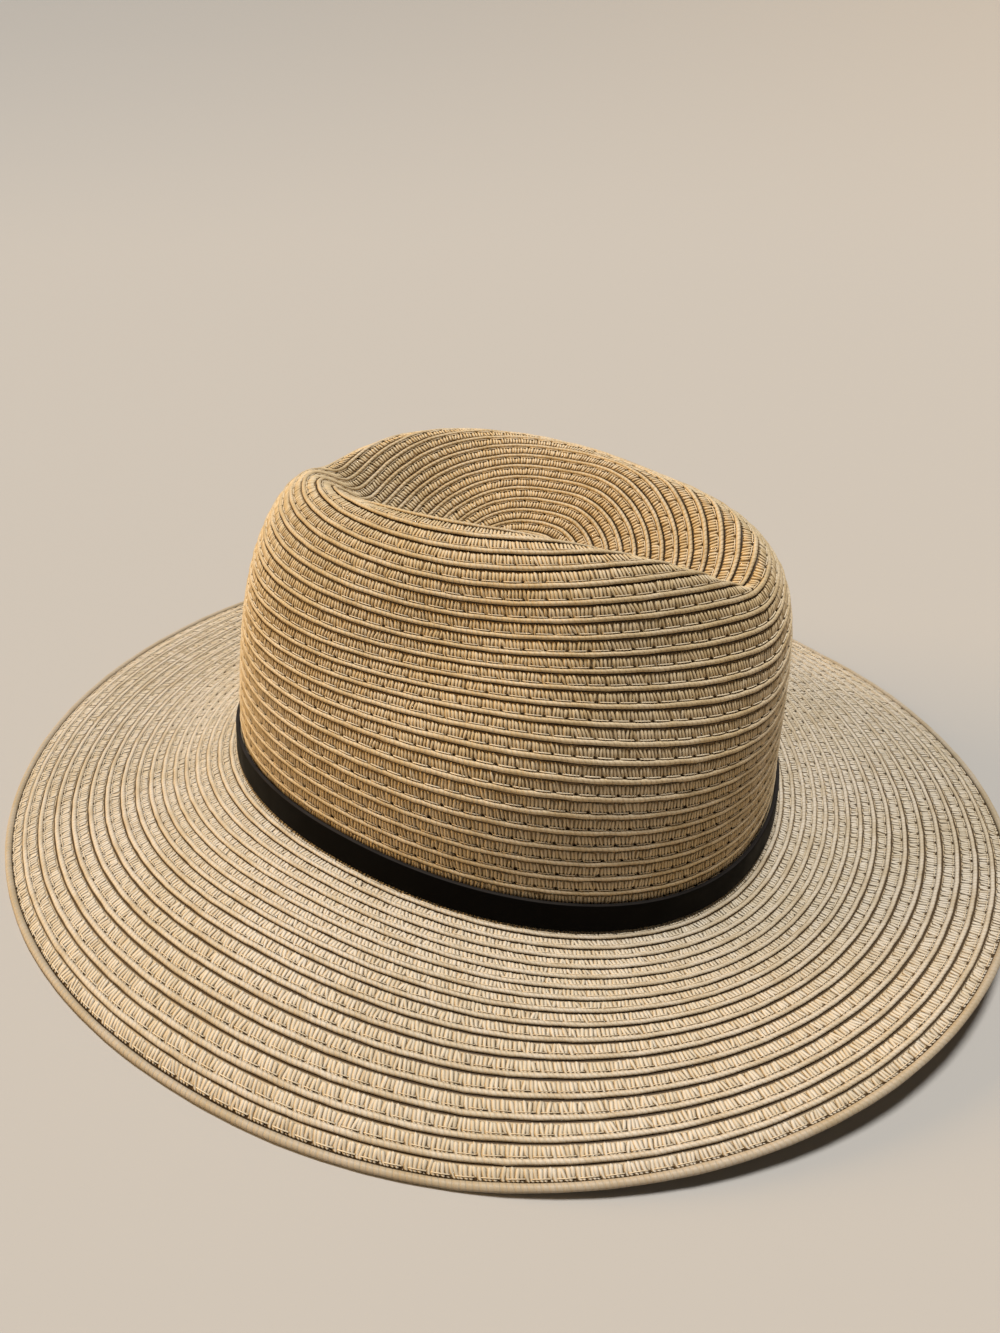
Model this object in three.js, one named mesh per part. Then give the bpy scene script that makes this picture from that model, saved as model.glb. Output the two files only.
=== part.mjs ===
// A wide-brim straw sun hat with a centre-dent crown, a leather band and a rolled brim edge.
// Millimetres, +Z up. The brim rests on z = 0, the front of the hat faces -Y, and the
// origin is on the ground under the middle of the crown.
import * as THREE from 'three';

// Driving dimensions
const baseHalfLength = 100;   // crown at the band, outside, front to back
const baseHalfWidth = 90;     // crown at the band, outside, side to side
const ovalPower = 2.1;        // 2 is an ellipse, more is squarer
const crownTop = 129;         // height of the crown before it is dented
const strawThickness = 1.6;
const pieceGap = 0.3;         // clearance between pieces that touch
const bandWidth = 9.5;
const bandThickness = 1.3;
const bandLift = 0.6;         // lower edge of the band above the crown's lower edge
const edgeRadius = 1.25;      // rolled outer edge of the brim
const edgeSink = 0.15;        // how much of the rolled edge the ground flattens

// How finely the curved walls are divided
const stationsAround = 60;
const stepsUpCrown = 20;
const stepsAcrossBrim = 8;
const stationsAroundEdge = 80;
const edgeSides = 8;
const samplesUpCrown = 240;

// Sections of the crown seen from its four sides. baseHeight is the crown's lower edge,
// wallPower and topPower shape the shoulder, lean is how far the top draws inwards.
const sides = {
  front: { baseHeight: 7.5, wallPower: 1.2, topPower: 6.6, lean: 3.3 },
  right: { baseHeight: 22, wallPower: 2.8, topPower: 2.45, lean: 5.7 },
  back: { baseHeight: 16.5, wallPower: 3.9, topPower: 3.3, lean: 1.5 },
  left: { baseHeight: 28, wallPower: 2.8, topPower: 2.45, lean: 5.7 },
};

// Stations round the brim, from the front towards the left side (+X). reach is the
// distance from the crown to the outer edge, edgeHeight the height that the edge would have
// with no ground under it, and the slopes are rise over run where the brim leaves the crown
// and where it ends.
const brimStations = [
  { name: 'front', reach: 78.5, edgeHeight: 13, startSlope: -0.15, endSlope: 0.12 },
  { name: 'front left', reach: 79.5, edgeHeight: 4.5, startSlope: -0.1, endSlope: -0.1 },
  { name: 'left', reach: 78.5, edgeHeight: -3, startSlope: 0, endSlope: -0.5 },
  { name: 'back left', reach: 78.5, edgeHeight: 0, startSlope: -0.3, endSlope: -0.3 },
  { name: 'back', reach: 82, edgeHeight: 0, startSlope: -0.45, endSlope: -0.1 },
  { name: 'back right', reach: 83, edgeHeight: 0, startSlope: -0.35, endSlope: -0.3 },
  { name: 'right', reach: 75.5, edgeHeight: -3, startSlope: 0.12, endSlope: -0.8 },
  { name: 'front right', reach: 72.5, edgeHeight: 4.5, startSlope: 0, endSlope: -0.3 },
];

// The top of the crown before it is dented: its tilt and sag over 100 mm lengthwise and
// 50 mm across, and how the plan narrows and shifts towards the top.
const top = { slope: -6, sag: 9, tilt: -2.5, twist: 1.7, taper: 0.1, shift: 1.4, bulge: -2.1 };

// The lengthwise dent: a valley that is lowest towards the back, between two ridges.
const dent = {
  frontY: -90, frontHeight: 114,
  lowY: 25, lowHeight: 86,
  backY: 92, backHeight: 108,
  sideSlope: 1, bottomRadius: 7,
  ridgeRoundingFront: 5, ridgeRoundingBack: 9,
};

// The shallow thumb dent in each side wall
const pinch = { depth: 3.6, angle: 98, spread: 28, height: 0.65, heightSpread: 0.18 };

const strawColour = 0xc9ae7f;
const edgeColour = 0xbd9f6e;
const leatherColour = 0x1d1613;

function radians(degrees) {
  return degrees * Math.PI / 180;
}

function smoothStep(value) {
  const t = THREE.MathUtils.clamp(value, 0, 1);
  return t * t * (3 - 2 * t);
}

// A value that passes through the four sides; the angle runs from the front to the left.
function aroundSides(angle, column) {
  const [front, right, back, left] = [sides.front, sides.right, sides.back, sides.left]
    .map((side) => side[column]);
  const mean = (front + right + back + left) / 4;
  const lengthwise = (front - back) / 2;
  const across = (left - right) / 2;
  const oval = (front + back - left - right) / 4;
  return mean + lengthwise * Math.cos(angle) + across * Math.sin(angle) + oval * Math.cos(2 * angle);
}

// A value that passes smoothly through the brim's stations
function aroundBrim(angle, column) {
  const count = brimStations.length;
  const place = THREE.MathUtils.euclideanModulo(angle / (2 * Math.PI), 1) * count;
  const index = Math.floor(place);
  const t = place - index;
  const [a, b, c, d] = [-1, 0, 1, 2]
    .map((step) => brimStations[(index + step + count) % count][column]);
  return b + 0.5 * t * (c - a + t * (2 * a - 5 * b + 4 * c - d + t * (3 * (b - c) + d - a)));
}

// The crown's plan outline at the band
function baseOval(angle) {
  const sine = Math.sin(angle);
  const cosine = Math.cos(angle);
  const scale = (Math.abs(sine) ** ovalPower + Math.abs(cosine) ** ovalPower) ** (-1 / ovalPower);
  return new THREE.Vector2(baseHalfWidth * sine * scale, -baseHalfLength * cosine * scale);
}

// The outward direction, in plan, square to that outline
function ovalNormal(angle) {
  const step = 0.001;
  const along = baseOval(angle + step).sub(baseOval(angle - step));
  return new THREE.Vector2(along.y, -along.x).normalize();
}

// Height of the dent's surface over a place in plan
function dentHeight(x, y) {
  const towardsBack = Math.max((y - dent.lowY) / (dent.backY - dent.lowY), 0);
  const towardsFront = Math.max((dent.lowY - y) / (dent.lowY - dent.frontY), 0);
  const valley = dent.lowHeight
    + (dent.backHeight - dent.lowHeight) * Math.min(towardsBack, 1.6) ** 2
    + (dent.frontHeight - dent.lowHeight) * Math.min(towardsFront, 1.3) ** 2;
  const across = Math.hypot(x - top.shift, dent.bottomRadius) - dent.bottomRadius;
  return valley + dent.sideSlope * across;
}

// A point of the crown's outer surface; travel runs from 0 at the lower edge to 1 at the tip
function crownPoint(angle, travel) {
  const turn = travel * Math.PI / 2;
  const spread = Math.max(Math.cos(turn), 0) ** (2 / aroundSides(angle, 'wallPower'));
  const rise = Math.sin(turn) ** (2 / aroundSides(angle, 'topPower'));
  const outline = baseOval(angle);
  const radial = outline.clone().normalize();

  const bulge = top.bulge * 4 * rise * (1 - rise);
  const inward = aroundSides(angle, 'lean') * rise;
  const plan = outline.multiplyScalar(spread).addScaledVector(radial, spread * (bulge - inward));
  const x = plan.x * (1 + top.taper * rise * plan.y / 100) + top.shift * rise;
  const y = plan.y;

  const full = crownTop + top.slope * y / 100 + top.sag * (y / 100) ** 2
    + top.tilt * x / 50 + top.twist * x * y / 5000;
  const dome = aroundSides(angle, 'baseHeight') * (1 - rise) ** 1.3 + full * rise;
  const floor = dentHeight(x, y);
  const rounding = THREE.MathUtils.mapLinear(y, -baseHalfLength, baseHalfLength,
    dent.ridgeRoundingFront, dent.ridgeRoundingBack);
  const dented = (dome + floor - Math.hypot(dome - floor, rounding)) / 2;
  const share = smoothStep(rise * 3);
  const z = dome * (1 - share) + dented * share;

  let pressed = 0;
  for (const side of [1, -1]) {
    const away = THREE.MathUtils.euclideanModulo(angle - radians(side * pinch.angle) + Math.PI, 2 * Math.PI)
      - Math.PI;
    const sideways = away / radians(pinch.spread);
    const upwards = (rise - pinch.height) / pinch.heightSpread;
    pressed += pinch.depth * Math.exp(-(sideways ** 2) - upwards ** 2);
  }
  return new THREE.Vector3(x - radial.x * pressed, y - radial.y * pressed, z);
}

// One line up the crown, from its lower edge to the tip, with the length up to each point
function crownLine(angle) {
  const points = [];
  const lengths = [0];
  for (let i = 0; i <= samplesUpCrown; i += 1) {
    points.push(crownPoint(angle, i / samplesUpCrown));
    if (i > 0) {
      lengths.push(lengths[i - 1] + points[i].distanceTo(points[i - 1]));
    }
  }
  return { points, lengths, total: lengths[samplesUpCrown] };
}

// The point at a given length up such a line
function alongLine(line, length) {
  let upper = 1;
  while (upper < samplesUpCrown && line.lengths[upper] < length) {
    upper += 1;
  }
  const span = line.lengths[upper] - line.lengths[upper - 1];
  const share = (length - line.lengths[upper - 1]) / span;
  return line.points[upper - 1].clone().lerp(line.points[upper], share);
}

// Height of the middle of the brim's edge, which is never lower than the ground lets it be
function edgeHeight(angle) {
  return Math.max(aroundBrim(angle, 'edgeHeight'), edgeRadius - edgeSink);
}

// A point of the brim's middle surface; out is the distance from the crown's outline
function brimPoint(angle, out) {
  const reach = aroundBrim(angle, 'reach') - edgeRadius;
  const innerHeight = aroundSides(angle, 'baseHeight') - pieceGap - strawThickness / 2;
  const t = THREE.MathUtils.clamp(out / reach, 0, 1);
  const z = (2 * t ** 3 - 3 * t ** 2 + 1) * innerHeight
    + (t ** 3 - 2 * t ** 2 + t) * aroundBrim(angle, 'startSlope') * reach
    + (3 * t ** 2 - 2 * t ** 3) * edgeHeight(angle)
    + (t ** 3 - t ** 2) * aroundBrim(angle, 'endSlope') * reach;
  const plan = baseOval(angle).addScaledVector(ovalNormal(angle), out);
  return new THREE.Vector3(plan.x, plan.y, z);
}

// Directions square to a grid of points that closes on itself round the first index
function gridNormals(grid) {
  const count = grid.length;
  return grid.map((column, i) => column.map((point, j) => {
    const around = grid[(i + 1) % count][j].clone().sub(grid[(i + count - 1) % count][j]);
    const along = column[Math.min(j + 1, column.length - 1)].clone().sub(column[Math.max(j - 1, 0)]);
    return around.cross(along).normalize();
  }));
}

// Closes rings of points into a solid: each ring joins the next, and the last the first,
// or the first and last rings are single points and close the ends.
function solidFromRings(rings) {
  const positions = [];
  const starts = rings.map((ring) => {
    const start = positions.length / 3;
    ring.forEach((point) => positions.push(point.x, point.y, point.z));
    return start;
  });
  const indices = [];
  const join = (lower, upper) => {
    const count = Math.max(rings[lower].length, rings[upper].length);
    const at = (ring, i) => starts[ring] + i % rings[ring].length;
    for (let i = 0; i < count; i += 1) {
      if (rings[lower].length > 1) {
        indices.push(at(lower, i), at(lower, i + 1), at(upper, i));
      }
      if (rings[upper].length > 1) {
        indices.push(at(lower, i + 1), at(upper, i + 1), at(upper, i));
      }
    }
  };
  for (let r = 0; r + 1 < rings.length; r += 1) {
    join(r, r + 1);
  }
  if (rings[0].length > 1) {
    join(rings.length - 1, 0);
  }
  const geometry = new THREE.BufferGeometry();
  geometry.setAttribute('position', new THREE.Float32BufferAttribute(positions, 3));
  geometry.setIndex(indices);
  geometry.computeVertexNormals();
  return geometry;
}

// Angles of evenly numbered stations, turning from the front to the left
function stationAngles(count) {
  return Array.from({ length: count }, (_, i) => 2 * Math.PI * i / count);
}

function ringOf(grid, j) {
  return grid.map((column) => column[j]);
}

function makeCrown() {
  const grid = stationAngles(stationsAround).map((angle) => {
    const line = crownLine(angle);
    return Array.from({ length: stepsUpCrown }, (_, j) => alongLine(line, line.total * j / stepsUpCrown));
  });
  const normals = gridNormals(grid);
  const inner = grid.map((column, i) => column.map((point, j) => {
    return point.clone().addScaledVector(normals[i][j], -strawThickness);
  }));
  inner.forEach((column, i) => {
    column[0].z = grid[i][0].z;
  });
  const tip = crownPoint(0, 1);
  const innerTip = tip.clone().setZ(tip.z - strawThickness);
  const rings = [];
  for (let j = stepsUpCrown - 1; j >= 0; j -= 1) {
    rings.push(ringOf(inner, j));
  }
  for (let j = 0; j < stepsUpCrown; j += 1) {
    rings.push(ringOf(grid, j));
  }
  return solidFromRings([[innerTip], ...rings, [tip]]);
}

function makeBrim() {
  const innerEdge = -strawThickness;
  const grid = stationAngles(stationsAround).map((angle) => {
    const outerEdge = aroundBrim(angle, 'reach') - 2 * edgeRadius - pieceGap;
    return Array.from({ length: stepsAcrossBrim + 1 }, (_, j) => {
      return brimPoint(angle, innerEdge + (outerEdge - innerEdge) * j / stepsAcrossBrim);
    });
  });
  const normals = gridNormals(grid);
  const offset = (distance) => grid.map((column, i) => column.map((point, j) => {
    return point.clone().addScaledVector(normals[i][j], distance);
  }));
  const under = offset(strawThickness / 2);
  const upper = offset(-strawThickness / 2);
  const rings = [];
  for (let j = 0; j <= stepsAcrossBrim; j += 1) {
    rings.push(ringOf(under, j));
  }
  for (let j = stepsAcrossBrim; j >= 0; j -= 1) {
    rings.push(ringOf(upper, j));
  }
  return solidFromRings(rings);
}

// The rolled edge, flat underneath where it lies on the ground
function makeBrimEdge() {
  const angles = stationAngles(stationsAroundEdge);
  const rings = Array.from({ length: edgeSides }, (_, side) => {
    const turn = 2 * Math.PI * (side + 0.5) / edgeSides - Math.PI / 2;
    const outwards = edgeRadius * Math.cos(turn);
    const upwards = edgeRadius * Math.sin(turn);
    return angles.map((angle) => {
      const point = brimPoint(angle, aroundBrim(angle, 'reach') - edgeRadius + outwards);
      point.z = Math.max(edgeHeight(angle) + upwards, 0);
      return point;
    });
  });
  return solidFromRings(rings);
}

function makeBand() {
  const corners = [
    { length: bandLift, out: pieceGap },
    { length: bandLift, out: pieceGap + bandThickness },
    { length: bandLift + bandWidth, out: pieceGap + bandThickness },
    { length: bandLift + bandWidth, out: pieceGap },
  ];
  const columns = stationAngles(stationsAround).map((angle) => {
    const line = crownLine(angle);
    const normal = ovalNormal(angle);
    return corners.map((corner) => {
      const point = alongLine(line, corner.length);
      point.x += normal.x * corner.out;
      point.y += normal.y * corner.out;
      return point;
    });
  });
  return solidFromRings(corners.map((_, j) => ringOf(columns, j)));
}

function makeMesh(name, geometry, colour, roughness) {
  const material = new THREE.MeshStandardMaterial({ color: colour, roughness, metalness: 0 });
  const mesh = new THREE.Mesh(geometry, material);
  mesh.name = name;
  return mesh;
}

const hat = new THREE.Group();
hat.add(makeMesh('crown', makeCrown(), strawColour, 0.85));
hat.add(makeMesh('brim', makeBrim(), strawColour, 0.85));
hat.add(makeMesh('brim_edge', makeBrimEdge(), edgeColour, 0.8));
hat.add(makeMesh('leather_band', makeBand(), leatherColour, 0.45));

export default hat;
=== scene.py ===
"""The looks of a wide-brim straw sun hat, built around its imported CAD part.

The crown and the brim are rows of sewn straw braid. Each row has a base wall, a smooth cord
along its lower edge, a line of loops above the cord, and a sewing thread that runs in long
stitches between the two. A leather band goes round the foot of the crown, and a thicker
cord finishes the brim. Lengths of the form and the braid are in millimetres, and Blender's
own are in metres.
"""

import logging
import math
from dataclasses import dataclass, field
from enum import Enum

import bpy
import numpy as np
from mathutils import Matrix, Vector


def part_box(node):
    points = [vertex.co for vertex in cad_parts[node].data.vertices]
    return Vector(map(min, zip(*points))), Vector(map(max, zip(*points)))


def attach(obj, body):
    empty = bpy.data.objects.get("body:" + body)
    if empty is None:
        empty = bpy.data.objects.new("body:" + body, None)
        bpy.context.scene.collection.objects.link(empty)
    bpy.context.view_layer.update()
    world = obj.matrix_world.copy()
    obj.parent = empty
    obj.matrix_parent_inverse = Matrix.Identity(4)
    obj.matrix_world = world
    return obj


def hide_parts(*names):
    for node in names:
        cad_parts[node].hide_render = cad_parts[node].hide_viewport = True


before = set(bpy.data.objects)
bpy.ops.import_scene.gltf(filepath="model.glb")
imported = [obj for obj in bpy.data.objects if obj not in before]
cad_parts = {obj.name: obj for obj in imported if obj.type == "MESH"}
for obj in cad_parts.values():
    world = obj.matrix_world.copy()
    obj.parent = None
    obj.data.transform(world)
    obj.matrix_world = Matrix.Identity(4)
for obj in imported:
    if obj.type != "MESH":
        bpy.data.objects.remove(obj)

MM = 0.001
TURN = 2 * math.pi
WELD = 0.00002
GROUND_GAP = 0.00005
STITCH_STATIONS = (0, 0.12, 0.5, 0.88, 1)
STITCH_ARCH = (-0.5, 0, 0.06, 0, -0.5)
BAKE_MAP = "OFBake"
LAY_MAP = "Lay"
TONE = "tone"

log = logging.getLogger("hat")


# ---------------------------------------------------------------- the form of the hat


@dataclass(frozen=True)
class Side:
    """The crown's section on one of its four sides.

    base is the height of the lower edge, wall and top shape the shoulder, and lean is how
    far the top draws inwards.
    """

    base: float
    wall: float
    top: float
    lean: float


@dataclass(frozen=True)
class BrimStation:
    """The brim at one station: its reach from the crown, and its height and slopes."""

    reach: float
    edge: float
    start_slope: float
    end_slope: float


@dataclass(frozen=True)
class Dent:
    """The lengthwise dent in the crown: a valley that is lowest towards the back.

    Its line rises from the low point towards the front and back points as a square, up to
    front_limit and back_limit times the way to them.
    """

    front_y: float = -90
    front_height: float = 107
    low_y: float = 25
    low_height: float = 86
    back_y: float = 92
    back_height: float = 124
    side_slope: float = 1
    bottom_radius: float = 7
    front_limit: float = 1.3
    back_limit: float = 1.6
    ridge_front: float = 4
    ridge_back: float = 12

    def height(self, x: np.ndarray, y: np.ndarray, middle: float) -> np.ndarray:
        """Gives the height of the dent's surface over places in plan.

        Args:
            x: Places across, in millimetres.
            y: Places lengthwise.
            middle: Where the valley's line runs, across.

        Returns:
            The heights.
        """
        back = np.maximum((y - self.low_y) / (self.back_y - self.low_y), 0)
        front = np.maximum((self.low_y - y) / (self.low_y - self.front_y), 0)
        valley = (
            self.low_height
            + (self.back_height - self.low_height) * np.minimum(back, self.back_limit) ** 2
            + (self.front_height - self.low_height) * np.minimum(front, self.front_limit) ** 2
        )
        across = np.hypot(x - middle, self.bottom_radius) - self.bottom_radius
        return valley + self.side_slope * across


@dataclass(frozen=True)
class CrownTop:
    """How the top of the crown tilts, sags, narrows and shifts before it is dented.

    slope, sag and taper are for each 100 mm lengthwise, tilt is for each 50 mm across, and
    twist is for both. base_fade shapes how soon the lower edge's own height is left behind.
    """

    height: float = 129
    slope: float = -6
    sag: float = 9
    tilt: float = -2.5
    twist: float = 1.7
    taper: float = 0.1
    shift: float = 1.4
    bulge: float = -2.1
    base_fade: float = 1.3


@dataclass(frozen=True)
class Pinch:
    """A shallow thumb dent in the wall; angle and spread are in degrees."""

    angle: float
    depth: float
    spread: float
    height: float = 0.65
    height_spread: float = 0.18


def smooth_step(value: np.ndarray) -> np.ndarray:
    """Eases a value from 0 to 1."""
    t = np.clip(value, 0, 1)
    return t * t * (3 - 2 * t)


def turn_from(angle: np.ndarray, degrees: float) -> np.ndarray:
    """Gives how far angles lie from a direction, at most half a turn either way."""
    return (angle - math.radians(degrees) + np.pi) % TURN - np.pi


def lengths_along(points: np.ndarray) -> np.ndarray:
    """Measures lines of points, from their first points to each of the others.

    Args:
        points: The lines, with the last two axes for the points and for x, y and z.

    Returns:
        The lengths, which start at 0.
    """
    steps = np.linalg.norm(np.diff(points, axis=-2), axis=-1)
    starts = np.zeros((*steps.shape[:-1], 1))
    return np.concatenate([starts, np.cumsum(steps, axis=-1)], -1)


@dataclass(frozen=True)
class HatForm:
    """The smooth form of the hat. Angles turn from the front (-Y) towards the left (+X).

    The dent is whole above 1 / dent_start of the crown's rise, and the pinches fade where
    the outline is drawn in to less than 1 / pinch_end of its size.
    """

    half_length: float
    half_width: float
    oval_power: float = 2.1
    thickness: float = 1.6
    gap: float = 0.3
    edge_radius: float = 1.25
    edge_sink: float = 0.15
    dent_start: float = 3
    pinch_end: float = 1.6
    front: Side = Side(base=7.5, wall=1.4, top=6.6, lean=3.3)
    right: Side = Side(base=22, wall=2.8, top=2.45, lean=5.7)
    back: Side = Side(base=16.5, wall=3.9, top=3.3, lean=1.5)
    left: Side = Side(base=28, wall=2.8, top=2.45, lean=5.7)
    top: CrownTop = CrownTop()
    dent: Dent = Dent()
    pinches: tuple[Pinch, ...] = (
        Pinch(angle=98, depth=3.6, spread=28),
        Pinch(angle=-74, depth=7, spread=26, height=0.62, height_spread=0.16),
        Pinch(angle=-28, depth=6.5, spread=24, height=0.63, height_spread=0.16),
        Pinch(angle=-64, depth=4.5, spread=25, height=0.75, height_spread=0.12),
        Pinch(angle=-18, depth=3, spread=20, height=0.76, height_spread=0.12),
        Pinch(angle=52, depth=6.5, spread=26, height=0.96, height_spread=0.2),
    )
    stations: tuple[BrimStation, ...] = (
        BrimStation(reach=78.5, edge=13, start_slope=-0.15, end_slope=0.12),
        BrimStation(reach=79.5, edge=4.5, start_slope=-0.1, end_slope=-0.1),
        BrimStation(reach=78.5, edge=-3, start_slope=0, end_slope=-0.5),
        BrimStation(reach=78.5, edge=0, start_slope=-0.3, end_slope=-0.3),
        BrimStation(reach=82, edge=0, start_slope=-0.45, end_slope=-0.1),
        BrimStation(reach=83, edge=0, start_slope=-0.35, end_slope=-0.3),
        BrimStation(reach=75.5, edge=-3, start_slope=0.12, end_slope=-0.8),
        BrimStation(reach=72.5, edge=4.5, start_slope=0, end_slope=-0.3),
    )

    def around_sides(self, angle: np.ndarray, name: str) -> np.ndarray:
        """Gives one of the side sections' values all round the crown.

        Args:
            angle: Angles round the hat.
            name: The name of the Side field.

        Returns:
            The value at each angle, which passes through those of the four sides.
        """
        front, right, back, left = (
            getattr(side, name) for side in (self.front, self.right, self.back, self.left)
        )
        mean = (front + right + back + left) / 4
        oval = (front + back - left - right) / 4
        lengthwise = (front - back) / 2 * np.cos(angle)
        across = (left - right) / 2 * np.sin(angle)
        return mean + lengthwise + across + oval * np.cos(2 * angle)

    def around_brim(self, angle: np.ndarray, name: str) -> np.ndarray:
        """Gives one of the brim stations' values all round the brim.

        Args:
            angle: Angles round the hat.
            name: The name of the BrimStation field.

        Returns:
            The value at each angle, on a smooth curve through the stations.
        """
        values = np.array([getattr(station, name) for station in self.stations], float)
        place = (np.asarray(angle) / TURN % 1) * len(values)
        index = np.floor(place).astype(int)
        t = place - index
        a, b, c, d = (values[(index + step) % len(values)] for step in (-1, 0, 1, 2))
        return b + 0.5 * t * (c - a + t * (2 * a - 5 * b + 4 * c - d + t * (3 * (b - c) + d - a)))

    def oval(self, angle: np.ndarray) -> np.ndarray:
        """Gives the crown's plan outline at the band.

        Args:
            angle: Angles round the hat.

        Returns:
            Plan points, with the last axis holding x and y.
        """
        sine, cosine = np.sin(angle), np.cos(angle)
        powered = abs(sine) ** self.oval_power + abs(cosine) ** self.oval_power
        scale = powered ** (-1 / self.oval_power)
        return np.stack([self.half_width * sine * scale, -self.half_length * cosine * scale], -1)

    def oval_normal(self, angle: np.ndarray) -> np.ndarray:
        """Gives the outward direction, in plan, square to the outline.

        Args:
            angle: Angles round the hat.

        Returns:
            Unit plan directions.
        """
        step = 0.001
        along = self.oval(angle + step) - self.oval(angle - step)
        normal = np.stack([along[..., 1], -along[..., 0]], -1)
        return normal / np.linalg.norm(normal, axis=-1, keepdims=True)

    def crown_point(self, angle: np.ndarray, travel: np.ndarray) -> np.ndarray:
        """Gives points of the crown's outer surface.

        Args:
            angle: Angles round the hat.
            travel: From 0 at the crown's lower edge to 1 at its tip.

        Returns:
            Points, with the last axis holding x, y and z.
        """
        turn = travel * np.pi / 2
        spread = np.maximum(np.cos(turn), 0) ** (2 / self.around_sides(angle, "wall"))
        rise = np.sin(turn) ** (2 / self.around_sides(angle, "top"))
        outline = self.oval(angle)
        radial = outline / np.linalg.norm(outline, axis=-1, keepdims=True)
        top = self.top
        drawn = top.bulge * 4 * rise * (1 - rise) - self.around_sides(angle, "lean") * rise
        plan = outline * spread[..., None] + radial * (spread * drawn)[..., None]
        y = plan[..., 1]
        x = plan[..., 0] * (1 + top.taper * rise * y / 100) + top.shift * rise
        full = top.height + top.slope * y / 100 + top.sag * (y / 100) ** 2
        full = full + top.tilt * x / 50 + top.twist * x * y / 5000
        dome = self.around_sides(angle, "base") * (1 - rise) ** top.base_fade + full * rise
        floor = self.dent.height(x, y, top.shift)
        share_back = (y + self.half_length) / (2 * self.half_length)
        rounding = self.dent.ridge_front
        rounding = rounding + (self.dent.ridge_back - self.dent.ridge_front) * share_back
        dented = (dome + floor - np.hypot(dome - floor, rounding)) / 2
        share = smooth_step(rise * self.dent_start)
        z = dome * (1 - share) + dented * share
        pressed = self.pinch_depth(angle, rise) * smooth_step(spread * self.pinch_end)
        return np.stack([x - radial[..., 0] * pressed, y - radial[..., 1] * pressed, z], -1)

    def pinch_depth(self, angle: np.ndarray, rise: np.ndarray) -> np.ndarray:
        """Gives how far the thumb dents press the walls in.

        Args:
            angle: Angles round the hat.
            rise: Shares of the crown's height.

        Returns:
            The depths.
        """
        pressed = np.zeros(np.broadcast(angle, rise).shape)
        for pinch in self.pinches:
            sideways = turn_from(angle, pinch.angle) / math.radians(pinch.spread)
            upwards = (rise - pinch.height) / pinch.height_spread
            pressed += pinch.depth * np.exp(-(sideways**2) - upwards**2)
        return pressed

    def edge_reach(self, angle: np.ndarray) -> np.ndarray:
        """Gives the distance of the middle of the brim's edge from the crown's outline."""
        return self.around_brim(angle, "reach") - self.edge_radius

    def edge_height(self, angle: np.ndarray) -> np.ndarray:
        """Gives the height of the middle of the brim's edge, which the ground may lift."""
        return np.maximum(self.around_brim(angle, "edge"), self.edge_radius - self.edge_sink)

    def brim_point(self, angle: np.ndarray, out: np.ndarray) -> np.ndarray:
        """Gives points of the brim's middle surface.

        Args:
            angle: Angles round the hat.
            out: Distances from the crown's outline.

        Returns:
            Points, with the last axis holding x, y and z.
        """
        reach = self.edge_reach(angle)
        inner = self.around_sides(angle, "base") - self.gap - self.thickness / 2
        t = np.clip(out / reach, 0, 1)
        z = (2 * t**3 - 3 * t**2 + 1) * inner
        z = z + (t**3 - 2 * t**2 + t) * self.around_brim(angle, "start_slope") * reach
        z = z + (3 * t**2 - 2 * t**3) * self.edge_height(angle)
        z = z + (t**3 - t**2) * self.around_brim(angle, "end_slope") * reach
        plan = self.oval(angle) + self.oval_normal(angle) * np.asarray(out)[..., None]
        return np.concatenate([plan, z[..., None]], -1)


# ---------------------------------------------------------------- sheets of braid


@dataclass
class Sheet:
    """A surface that rows of braid lie on.

    Rows are numbered from the tip of the crown downwards, or from the crown outwards on the
    brim, and the row number is also the place across a row: 3.5 is the middle of row 3.
    """

    points: np.ndarray
    first_row: float
    last_row: float
    normals: np.ndarray = field(init=False)

    def __post_init__(self) -> None:
        """Works out the outward directions on the grid."""
        along = np.roll(self.points, -1, 0) - np.roll(self.points, 1, 0)
        down = np.gradient(self.points, axis=1)
        normals = np.cross(down, along)
        self.normals = normals / np.linalg.norm(normals, axis=-1, keepdims=True)

    def place(self, angle: np.ndarray, row: np.ndarray) -> tuple[np.ndarray, np.ndarray]:
        """Finds points on the sheet.

        Args:
            angle: Angles round the hat.
            row: Row numbers, with their fractions.

        Returns:
            The points and the outward directions there.
        """
        count, steps = self.points.shape[:2]
        a = np.asarray(angle) / TURN * count
        r = (np.asarray(row) - self.first_row) / (self.last_row - self.first_row)
        r = np.clip(r, 0, 1) * (steps - 1)
        low_a, low_r = np.floor(a).astype(int), np.minimum(np.floor(r).astype(int), steps - 2)
        share_a, share_r = (a - low_a)[..., None], (r - low_r)[..., None]
        low_a, high_a = low_a % count, (low_a + 1) % count
        found = []
        for grid in (self.points, self.normals):
            near = grid[low_a, low_r] * (1 - share_r) + grid[low_a, low_r + 1] * share_r
            far = grid[high_a, low_r] * (1 - share_r) + grid[high_a, low_r + 1] * share_r
            found.append(near * (1 - share_a) + far * share_a)
        normals = found[1] / np.linalg.norm(found[1], axis=-1, keepdims=True)
        return found[0], normals

    def row_line(self, row: float) -> "RowLine":
        """Measures the closed line along a row."""
        return RowLine(self, row)


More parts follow.
